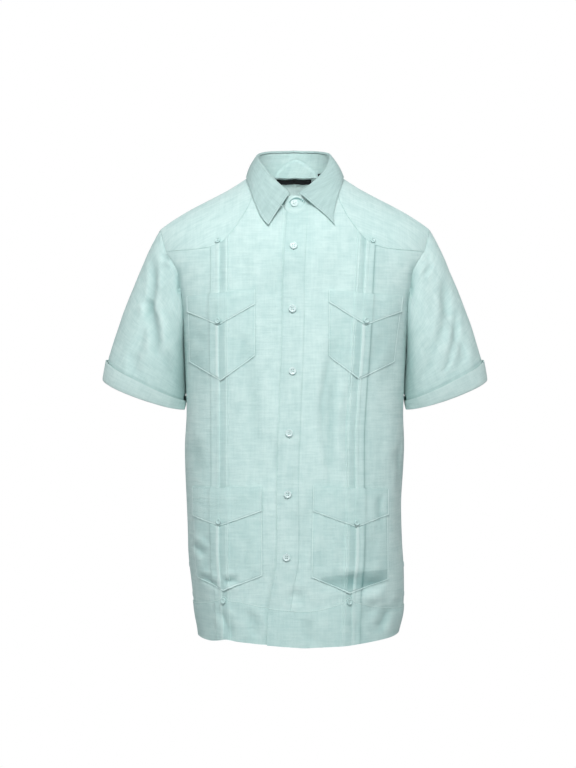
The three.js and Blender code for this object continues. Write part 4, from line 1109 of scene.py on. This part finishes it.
def fold_point(turn, inward):
    """A place on the collar's fold; turns run in degrees from the front towards the wearer's right."""
    a = np.radians(turn)
    x = fold_centre[0] - (fold_half[0] - inward) * np.sin(a)
    y = fold_centre[1] - (fold_half[1] - inward) * np.cos(a)
    aside = aside_of(turn)
    heights = {name: read(fold_line, "turn", np.abs(aside), name) for name in ("right", "left")}
    return np.stack([x, y, np.where(aside > 0, heights["right"], heights["left"]) + 0 * x], -1)


def stand_foot(turn, inward):
    a = np.radians(turn)
    x = -neck_half * np.sin(a)
    before = np.cos(a) > 0
    z = np.where(before, neck_height("front", x), neck_height("back", x))
    deep = np.where(before, neck_deep["front"], neck_deep["back"])
    return np.stack([-(neck_half - inward) * np.sin(a), ridge - (deep - inward) * np.cos(a), z], -1)


turns = np.linspace(-15, 375, 196)
aside = aside_of(turns)
t = spaced((0, 0.6, 9), (0.6, 1, 18))[:, None]
below = 1 - ease((turns - 12) / 40)
inward = 0.7 + 2.8 * below
top = fold_point(turns, inward)
# the band lies a little below the fold, crosses in front in a low arc and has round ends
front_arc = -16.4 - 1.5 * (aside / 8) ** 2
top[:, 2] -= 3.2
top[:, 2] = mix(front_arc, top[:, 2], ease((np.abs(aside) - 8) / 8))
ends = np.minimum(turns + 15, 375 - turns) * 1.25
top[:, 2] -= 8.0 * (1 - np.sqrt(np.clip(1 - (1 - np.clip(ends / 11, 0, 1)) ** 2, 0, 1)))
foot = stand_foot(turns, inward)
points = foot[None] + (top - foot)[None] * t[..., None]
points[..., 2] += 0.6 * below * (1 - t)
# at the back its inner layer stands forward a little under a low arch
arch = 58 - 20 * np.abs((points[..., 0] - 2) / 30) ** 1.5 - points[..., 2]
behind = (np.cos(np.radians(turns)) < -0.5) * ease((34 - np.abs(points[..., 0] - 2)) / 5)
points[..., 1] -= 3.0 * behind * ease(arch / 5)
# in front its edge is a light lip of painted highlight over a painted shadow line where its other end lies
# against it
above = points[..., 2] + 20.8 + 0.052 * (aside + 4) ** 2
in_front = 1 - ease((np.abs(aside + 4) - 10) / 3)
shade = in_front * (1.5 * np.exp(-(above / 1.4) ** 2) - 0.5 * np.exp(-((above - 3) / 1.3) ** 2))
# painted shade along the low arch at the back
shade = shade + 0.16 * behind * np.exp(-((arch + 1.5) / 2.0) ** 2)
cloth("collar_stand_cloth", points, "linen_trim", ["collar_stand"], thick=1.1,
      look="linen", shade=shade)

# ---------------------------------------------------------------- the collar leaf
# A pointed leaf of doubled, stiffened linen. It turns over the top of the stand, falls to the
# shoulders and ends in front in two points; a line of stitches runs near its edge.
leaf_edge = {
    "right": {
        "turn": [7, 15, 30, 50, 75, 90, 105, 130, 155, 180],
        "out": [43, 46, 54, 64, 75, 78, 76, 60, 32, 0],
        "height": [-69, -66, -55, -30, 6, 17, 16, 14, 15, 17],
    },
    "left": {
        "turn": [9, 15, 30, 50, 75, 90, 105, 130, 155, 180],
        "out": [62, 61.5, 61, 65, 75, 78, 76, 60, 32, 0],
        "height": [-68, -62, -50, -30, 6, 17, 16, 14, 15, 17],
    },
}
leaf_lift = 3.7


def leaf_corner(turn):
    wrapped = 360 - turn if turn > 180 else turn
    name = "left" if turn > 180 else "right"
    out = float(read(leaf_edge[name], "turn", wrapped, "out"))
    height = float(read(leaf_edge[name], "turn", wrapped, "height"))
    side = "back" if wrapped > 97 else "front"
    top = float(shoulder(side, out, np.array(height))) - 0.4
    return on_body(side, out if turn > 180 else -out, min(height, top), leaf_lift)


def clear_of_form(points, lift):
    """Lifts points that would lie in the shoulders until they are clear of them."""
    for side in ("front", "back"):
        x, y, z = points[..., 0], points[..., 1], points[..., 2]
        here = (y < ridge) if side == "front" else (y >= ridge)
        square = body_normal(side, x, y, z)
        gap = (facing[side] * (y - ridge) - reach(side, x, z)) * np.abs(square[..., 1])
        short = np.where(here, np.maximum(lift - gap, 0), 0)
        points = points + square * short[..., None]
    return points


corner_turns = [7, *range(15, 346, 15), 351]
corners = np.array([leaf_corner(turn) for turn in corner_turns])
turns = spaced((7, 15, 8), (15, 345, 150), (345, 351, 6))


def smooth_through(places, rows, at):
    table = {"at": list(places)}
    columns = []
    for k in range(3):
        table["value"] = list(rows[:, k])
        columns.append(read(table, "at", at, "value"))
    return np.stack(columns, -1)


edge = smooth_through(corner_turns, corners, turns)
a = np.radians(turns)
radial = np.stack([-np.sin(a), -np.cos(a), 0 * a], -1)
fold_top = fold_point(turns, 1.2)
rows = []
for outward, down in ((0.0, 2.4), (0.15, 1.1), (0.7, 0.25), (1.5, -0.05), (2.3, 0.15), (3.0, 0.8)):
    rows.append(fold_top + radial * outward - np.array([0, 0, down]))
bend = fold_top + radial * 3.4 - np.array([0, 0, 1.6])
roll = (radial + np.array([0, 0, 0.6])) / math.hypot(1, 0.6)
for t in np.linspace(0, 1, 26):
    rows.append(clear_of_form(bend + (edge - bend) * t + roll * 9 * t * (1 - t), leaf_lift))
points = np.array(rows)
across = np.gradient(points, axis=1)
down = np.gradient(points, axis=0)
square = np.cross(across, down)
square /= np.linalg.norm(square, axis=-1, keepdims=True)
square *= -1 if square[20, 80, 1] < 0 else 1
wave = 0.35 * np.sin(turns / 9.0)[None, :] * np.linspace(0, 1, len(rows))[:, None]
leaf = points + square * (1.2 + wave)[..., None]
down = fallen(leaf)
aside = np.stack([lengths(row) for row in leaf])
leaf_rim = np.minimum(down[-1:] - down, np.minimum(aside, aside[:, -1:] - aside))
# painted highlight along the leaf's edges and painted shade on its stitch line, both fading towards the fold,
# and painted shade a little darker towards the wearer's left
cloth("collar_cloth", leaf, "linen", ["collar"], thick=1.1,
      look="linen_collar", shade=edge_shade(leaf_rim - 0.3) * np.linspace(0.2, 1, len(leaf))[:, None]
      + 0.05 * ease((leaf[..., 0] + 25) / 50))
sew("collar_stitches", [along("collar_cloth", line) for line in traced(leaf_rim, 4.5)])

# ---------------------------------------------------------------- pockets and flaps
# Four patch pockets of linen with the fronts' tucks run on through them, blunt-pointed below. Over
# the top of each lies a pointed flap of doubled cloth, sewn along its upper edge and buttoned at its tip.
pockets = {
    "chest_left": {
        "front": "left", "top": (-173, -180), "inner": (53, 52), "foot": (-277, -286),
        "tip": (101, -315), "flap": (-192, -205), "flap_tip": (111, -228),
    },
    "chest_right": {
        "front": "right", "top": (-171, -180), "inner": (63, 63), "foot": (-277, -286),
        "tip": (118, -317), "flap": (-195, -205), "flap_tip": (121, -228),
    },
    "hip_left": {
        "front": "left", "top": (-483, -490), "inner": (28, 25), "foot": (-629, -637),
        "tip": (86, -656), "flap": (-524, -532), "flap_tip": (96, -550),
    },
    "hip_right": {
        "front": "right", "top": (-485, -488), "inner": (53, 52), "foot": (-627, -635),
        "tip": (116, -653), "flap": (-524, -535), "flap_tip": (119, -549),
    },
}


def pocket_sides(pocket, z):
    down = (z - pocket["top"][0]) / (pocket["foot"][0] - pocket["top"][0])
    inner = mix(pocket["inner"][0], pocket["inner"][1], down)
    return inner, read(fronts[pocket["front"]]["pocket_side"], "height", z, "out")


def pocket_line(pocket, heights, tip, out):
    """The height of a straight or pointed line across a pocket."""
    start = float(pocket_sides(pocket, np.array(float(heights[0])))[0])
    stop = float(pocket_sides(pocket, np.array(float(heights[1])))[1])
    if tip is None:
        return mix(heights[0], heights[1], (out - start) / (stop - start))
    before = mix(heights[0], tip[1], (out - start) / (tip[0] - start))
    beyond = mix(tip[1], heights[1], (out - tip[0]) / (stop - tip[0]))
    return np.where(out < tip[0], before, beyond)


def pocket_x(pocket, z, place, tip_out):
    """Across a pocket: 0 its inner edge, 1 and 3 the tuck band's edges, 2 the tip, 4 the outer edge."""
    front = fronts[pocket["front"]]
    inner, outer = pocket_sides(pocket, z)
    tuck = read(front["tuck"], "height", z, "out")
    knots = [inner, tuck - tuck_half, tip_out, tuck + tuck_half, outer]
    out = mix(knots[0], knots[1], place)
    for k in (1, 2, 3):
        out = np.where(place > k, mix(knots[k], knots[k + 1], place - k), out)
    return out


def patch_grid(pocket, upper, lower, tip, share):
    place = spaced((0, 0.08, 7), (0.08, 1, 14), (1, 2, 24), (2, 3, 24), (3, 3.92, 15), (3.92, 4, 7))[None, :]
    levels = []
    for heights, point in ((upper, None), (lower, tip)):
        z = np.full(place.shape, float(heights[0]))
        for _ in range(8):
            z = pocket_line(pocket, heights, point, pocket_x(pocket, z, place, tip[0]))
        levels.append(z)
    z = mix(levels[0], levels[1], share)
    return pocket_x(pocket, z, place, tip[0]), z, place


def rim(out, z):
    """The distance of each place of a patch from its edges, apart from the upper one."""
    aside = np.minimum(out - out[:, :1], out[:, -1:] - out)
    slant = np.abs(np.gradient(z[-1]) / np.gradient(out[-1]))
    below = (z - z[-1:]) / np.hypot(1, slant)
    return np.minimum(aside, below)


def panel_out(name, out, z):
    """The outside of a front with its tucks covered, as the cloth over it lies."""
    covered = 0.9 * ease((tuck_half + 1 - np.abs(past_tuck(name, out, z))) / 3)
    return cloth_wall + covered - (under_left(out, z) if name == "right" else 0)


def puffed(place, share):
    """How far a laid-on piece stands out between its edges, from 0 to 1."""
    return np.sin(math.pi * place / 4) ** 0.8 * np.sin(math.pi * (0.15 + 0.85 * share)) ** 0.8


def stitched_in(away):
    """Where a line of stitches draws the cloth in beside an edge, from 0 to 1."""
    return np.exp(-((away - 1.9) / 0.8) ** 2)


# Creases of the laid-on pieces, as on the body: both ends, width and depth.
pocket_creases = {
    "chest_left": [(70, -240, 84, -300, 7, 0.9), (140, -236, 132, -292, 7, 1.0)],
    "chest_right": [(-84, -236, -92, -300, 7, 0.9), (-152, -236, -150, -286, 7, 1.0)],
    "hip_left": [(50, -560, 44, -626, 9, 1.2), (128, -556, 120, -630, 8, 1.4), (40, -618, 132, -622, 6, 0.8)],
    "hip_right": [(-76, -560, -84, -630, 8, 1.0), (-146, -552, -140, -626, 8, 1.1)],
}
pocket_rims, flap_rims = {}, {}
pocket_share = spaced((0, 0.02, 2), (0.02, 0.955, 90), (0.955, 1, 14))[:, None]
flap_share = spaced((0, 0.05, 2), (0.05, 0.85, 16), (0.85, 1, 14))[:, None]
for name, pocket in pockets.items():
    side = pocket["front"]
    sign = fronts[side]["sign"]
    out, z, place = patch_grid(pocket, pocket["top"], pocket["foot"], pocket["tip"], pocket_share)
    away = rim(out, z)
    tucks = tuck_rise(side, out, z) * ease(away / 5)
    lift = panel_out(side, out, z) + 1.3 + 0.9 * tucks + 0.9 * puffed(place, pocket_share)
    under_flap = z > pocket_line(pocket, pocket["flap"], pocket["flap_tip"], out) - 1
    lift = np.where(under_flap, np.minimum(lift, panel_out(side, out, z) + 1.5), lift)
    own_creases = creased(sign * out, z, pocket_creases[name])
    lift = lift - own_creases - 0.35 * stitched_in(away)
    lift = np.maximum(lift, panel_out(side, out, z) + 1.0)
    # painted light and shade: the tucks' painted shade and highlight, a painted shadow line at the very edge
    # with a painted highlight beside it, and painted shade on the stitch line and in the creases
    shade = tuck_shade(side, out, z) * ease((away - 1) / 4) + edge_shade(away, 0.3)
    shade = shade + 0.07 * sunk("front", sign * out, z) + 0.06 * own_creases
    # painted shade where the hip pocket's foot caves in below a crease
    if name == "hip_left":  # its foot caves in below a crease, and is darker there
        below = np.interp(out, [26, 45, 79, 108, 148], [-636, -627.5, -624, -620, -618.5]) - z
        shade = shade + 0.3 * ease(below / 2.5) * ease(away / 3)
    pocket_rims[name] = away
    cloth(f"pocket_{name}_cloth", on_body("front", sign * out, z, lift), "linen_trim",
          [f"pocket_{name}"], thick=0.85,
          shade=shade, upright=True)

    out, z, place = patch_grid(pocket, [h - 1 for h in pocket["top"]], pocket["flap"], pocket["flap_tip"],
                               flap_share)
    away = rim(out, z)
    curl = 0.25 * ease((flap_share - 0.55) / 0.45) * (1 - np.exp(-((place - 2) / 0.5) ** 2))
    hinge = 0.3 * ease((flap_share - 0.02) / 0.2)
    lift = panel_out(side, out, z) + 2.3 + hinge + 0.4 * puffed(place, flap_share) + curl
    lift = lift + 0.3 * tuck_rise(side, out, z) - 0.3 * stitched_in(away)
    waves = uneven(sign * out * 1.6, z * 2.2, 0.4)
    lift = lift + 0.3 * waves
    # painted light and shade: a painted shadow line and highlight along the edges, and painted shade in the
    # creases, on the waves and over the tuck band
    shade = edge_shade(away, 0.25) + 0.08 * sunk("front", sign * out, z) + 0.02 * waves
    painted_band_shade = np.exp(-(past_tuck(side, out, z) / 11) ** 2) * np.exp(-((flap_share - 0.42) / 0.28) ** 2)
    shade = shade + 0.12 * painted_band_shade
    flap_rims[name] = away
    cloth(f"flap_{name}_cloth", on_body("front", sign * out, z, lift), "linen_trim",
          [f"flap_{name}"], thick=1.0,
          shade=shade, upright=True)

sew("pocket_stitches", [
    along(f"{kind}_{name}_cloth", line)
    for kind, rims in (("pocket", pocket_rims), ("flap", flap_rims))
    for name in pockets for line in traced(rims[name], stitch_in)
])

# ---------------------------------------------------------------- the hem bands
# A strip of linen round the foot of each panel, laid on outside and stitched down; its upper edge
# is cut in scallops that come to a small peak at each tuck band.
band_rims = {}
for name, front in fronts.items():
    place = spaced((0, 1, 12), (1, 2, 26), (2, 3, 44), (3, 4, 30))[None, :]
    edges = []
    for column in ("hem", "top"):
        z = np.full(place.shape, -700.0)
        for _ in range(8):
            z = read(hem_bands[name], "out", front_x(name, z, place), column)
        edges.append(z)
    share = spaced((0, 0.94, 18), (0.94, 1, 6))[:, None]
    z = mix(edges[0] - 0.3, edges[1], share)
    out = front_x(name, z, place)
    slant = np.abs(np.gradient(edges[1][0]) / np.gradient(out[-1]))
    away = (edges[1] - z) / np.hypot(1, slant)
    lift = panel_out(name, out, z) + 1.3 + 0.3 * placket_step(name, out, z)
    lift = lift + 0.5 * tuck_rise(name, out, z) * ease(share / 0.1)
    lift = lift + 0.35 * np.sin(math.pi * share) - 0.3 * stitched_in(away)
    # painted light and shade: a painted highlight along the upper edge with painted shade on its stitch line,
    # the tucks' painted shade and highlight, and painted shade in the creases
    shade = 1.4 * edge_shade(away) + 0.5 * tuck_shade(name, out, z)
    shade = shade + 0.06 * sunk("front", front["sign"] * out, z)
    band_rims[name] = away
    cloth(f"hem_band_{name}_cloth", on_body("front", front["sign"] * out, z, lift), "linen_trim",
          [f"hem_band_{name}"], thick=0.85,
          shade=shade, upright=True)

hem = read(hem_bands["back"], "out", hem_half * np.abs(back_share), "hem")
top = read(hem_bands["back"], "out", hem_half * np.abs(back_share), "top")
share = np.linspace(0, 1, 14)[:, None]
z = mix(hem - 0.3, top, share)
x = across_back(z, back_share)
cloth("hem_band_back_cloth", on_body("back", x, z, 2.5 + 0.3 * np.sin(math.pi * share)), "linen_trim",
      ["hem_band_back"], thick=0.85)
back_fall = fallen(surfaces["hem_band_back_cloth"][0])
band_rims["back"] = back_fall[-1:] - back_fall
sew("hem_stitches", [
    along(f"hem_band_{name}_cloth", line)
    for name in (*fronts, "back") for line in traced(band_rims[name], stitch_in)
])

# ---------------------------------------------------------------- the buttons
# Round buttons of pale shell, with a raised rim and four holes shown as dark discs of painted shade,
# each sewn on with two bars of thread: seven larger ones down the middle, smaller ones on flaps,
# yoke, hem bands and vents.
shell, wire = finish("button_shell")
clouds = speckle(wire, 420.0, Detail=3.0, Distortion=1.2)
spread = wire.node("MapRange", {}, {"Value": clouds, "From Min": 0.35, "From Max": 0.65})
paint(shell, wire, wire.node("BsdfPrincipled", {}, {
    "Base Color": tinted(wire, spread, (0.55, 0.72, 0.71, 1), (0.74, 0.87, 0.86, 1)),
    "Roughness": 0.3, "Coat Weight": 0.3, "Coat Roughness": 0.15,
}))


def mottled(name, scale, detail, dark, light, roughness):
    made, wire = finish(name)
    colour = tinted(wire, speckle(wire, scale, Detail=detail), dark, light)
    return paint(made, wire, wire.node("BsdfPrincipled", {}, {"Base Color": colour, "Roughness": roughness}))


mint_shell = mottled("button_mint", 500.0, 2.0, (0.40, 0.60, 0.58, 1), (0.60, 0.78, 0.76, 1), 0.35)
painted_hole_shade = mottled("button_hole_painted_shade", 900.0, 1.0, (0.05, 0.09, 0.085, 1), (0.1, 0.16, 0.15, 1), 0.7)


def one_button(r):
    """A button of radius r lying at the origin, face up, with its thread and dark discs of painted shade for
    its holes.
    """
    made = bmesh.new()
    profile = [
        (0, 0.2), (r - 1.2, 0), (r - 0.3, 0.35), (r, 0.95), (r - 0.12, 1.75), (r - 0.6, 2.2),
        (r - 1.1, 2.25), (r - 1.6, 1.95), (r - 2.2, 1.5), (r - 3.0, 1.38), (0, 1.36),
    ]
    ring = [made.verts.new((x, 0, h)) for x, h in profile]
    edges = [made.edges.new(pair) for pair in zip(ring, ring[1:])]
    bmesh.ops.spin(made, geom=ring + edges, cent=(0, 0, 0), axis=(0, 0, 1), angle=2 * math.pi, steps=28,
                   use_merge=True)
    bmesh.ops.remove_doubles(made, verts=made.verts, dist=1e-4)
    bmesh.ops.recalc_face_normals(made, faces=made.faces)
    gap = 0.22 * r
    for dx in (-gap, gap):
        for dy in (-gap, gap):
            # each hole is a thin dark disc on the face: painted shade where the hole would be
            hole = bmesh.ops.create_cone(
                made, segments=10, radius1=0.16 * r, radius2=0.16 * r, depth=0.1, cap_ends=True,
                matrix=Matrix.Translation((dx, dy, 1.36)),
            )
            for face in {f for v in hole["verts"] for f in v.link_faces}:
                face.material_index = 1
        bar = bmesh.ops.create_cone(
            made, segments=8, radius1=0.09 * r, radius2=0.09 * r, depth=2 * gap + 0.5, cap_ends=True,
            matrix=Matrix.Translation((dx, 0, 1.5)) @ Matrix.Rotation(math.pi / 2, 4, "X"),
        )
        for face in {f for v in bar["verts"] for f in v.link_faces}:
            face.material_index = 2
    for face in made.faces:
        face.smooth = True
    return as_mesh("one_button", made)


def sewn_on(name, nodes, radius, places, face):
    """All the buttons of one size as one piece, each with its back at its place, facing out."""
    made = bmesh.new()
    for k, (place, square) in enumerate(places):
        aim = Vector(square).to_track_quat("Z", "Y").to_matrix().to_4x4()
        turned = Matrix.Rotation(0.2 * math.sin(7 * k), 4, "Z") @ Matrix.Scale(0.001, 4)
        copy = one_button(radius)
        copy.transform(Matrix.Translation(Vector(place) / 1000) @ aim @ turned)
        made.from_mesh(copy)
        bpy.data.meshes.remove(copy)
    thing = put(name, as_mesh(name, made))
    thing.data.set_sharp_from_angle(angle=math.radians(50))
    for paint_of in (face, painted_hole_shade, finishes["linen"]):
        thing.data.materials.append(paint_of)
    fixed(thing, nodes)


def on_cloth(side, x, z, out):
    """A place on the body's form with its square direction."""
    x, z = np.array([float(x)]), np.array([float(z)])
    foot = np.split(on_body(side, x, z, 0.0), 3, -1)
    return on_body(side, x, z, out)[0], body_normal(side, *foot)[0, 0]


front_radius, small_radius = 6.2, 4.6
buttonhole = {"half": 7, "pitch": 0.75, "side": 1.1, "out": 2.1}
yoke_button = (124, -91)
front_buttons = [(-2.6, -102), (-4.4, -202), (-4.4, -301), (-9.4, -400), (-12.4, -497), (-13.8, -597)]
places = [on_cloth("front", x, z, 2.9) for x, z in front_buttons]
low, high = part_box("button_neck")
neck_place = (low + high) / 2 * 1000
neck_square = Vector((0.02, -0.93, 0.36)).normalized()
places.append((np.array(neck_place - neck_square * 1.2), np.array(neck_square)))
sewn_on("front_buttons", [f"button_front_{k + 1}" for k in range(6)] + ["button_neck"], front_radius, places,
        shell)

# A buttonhole of close crosswise stitches runs down behind each button of the placket.
made = bmesh.new()
for x, z in front_buttons:
    for down in np.arange(-buttonhole["half"], buttonhole["half"] + 0.1, buttonhole["pitch"]):
        for aside in (-buttonhole["side"], buttonhole["side"]):
            spot, square = on_cloth("front", x + aside, z + down, buttonhole["out"])
            stitch(made, spot, (1, 0, 0), square)
done_sewing("buttonholes", made)

small_places, small_nodes = [], []
for name, pocket in pockets.items():
    sign = fronts[pocket["front"]]["sign"]
    out, z = pocket["flap_tip"][0], pocket["flap_tip"][1] + 7.6
    flap_out = panel_out(pocket["front"], np.array([out]), np.array([z]))[0] + 4.9
    small_places.append(on_cloth("front", sign * out, z, flap_out))
    small_nodes.append(f"button_{name}")
for name, front in fronts.items():
    sign = front["sign"]
    small_places.append(on_cloth("front", sign * yoke_button[0], yoke_button[1], 2.1))
    small_nodes.append(f"button_yoke_{name}")
    peak = (hem_bands[name]["out"][4], hem_bands[name]["top"][4] - 7.1)
    small_places.append(on_cloth("front", sign * peak[0], peak[1], 4.9))
    small_nodes.append(f"button_hem_{name}")
    for k in (1, 2, 3):
        node = f"button_vent_{name}_{k}"
        low, high = (corner * 1000 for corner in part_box(node))
        centre = np.array((low + high) / 2)
        centre[0] += drawn_in(centre[0], centre[2])
        nearest = []
        for piece in ("back_cloth", "hem_band_back_cloth"):
            points, square = surfaces[piece]
            off = np.linalg.norm(points - centre, axis=-1)
            at = np.unravel_index(off.argmin(), off.shape)
            nearest.append((float(off[at]), tuple(points[at]), tuple(square[at])))
        small_places.append((np.array(min(nearest)[1]), np.array(min(nearest)[2])))
        small_nodes.append(node)
sewn_on("small_buttons", small_nodes, small_radius, small_places, mint_shell)

# ---------------------------------------------------------------- label and size tab
# A woven black label inside the back of the neck and a small folded size tab beside it, both bare.
satin, wire = finish("black_tape")
place = wire.node("TexCoord", {}, {}, "Object")
stretched = wire.node("Mapping", {}, {"Vector": place, "Scale": (400, 400, 3000)})
ribs = wire.node("TexNoise", {}, {"Vector": stretched, "Scale": 1.0, "Detail": 1.0}, "Fac")
black = tinted(wire, ribs, (0.002, 0.002, 0.003, 1), (0.012, 0.012, 0.014, 1))
paint(satin, wire, wire.node("BsdfPrincipled", {}, {
    "Base Color": black, "Roughness": 0.6, "Specular IOR Level": 0.2,
    "Normal": wire.node("Bump", {}, {"Height": ribs, "Strength": 0.4, "Distance": 0.0003}),
}))
for name in ("neck_label", "size_tab"):
    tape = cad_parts[name]
    tape.data.materials.clear()
    tape.data.materials.append(satin)
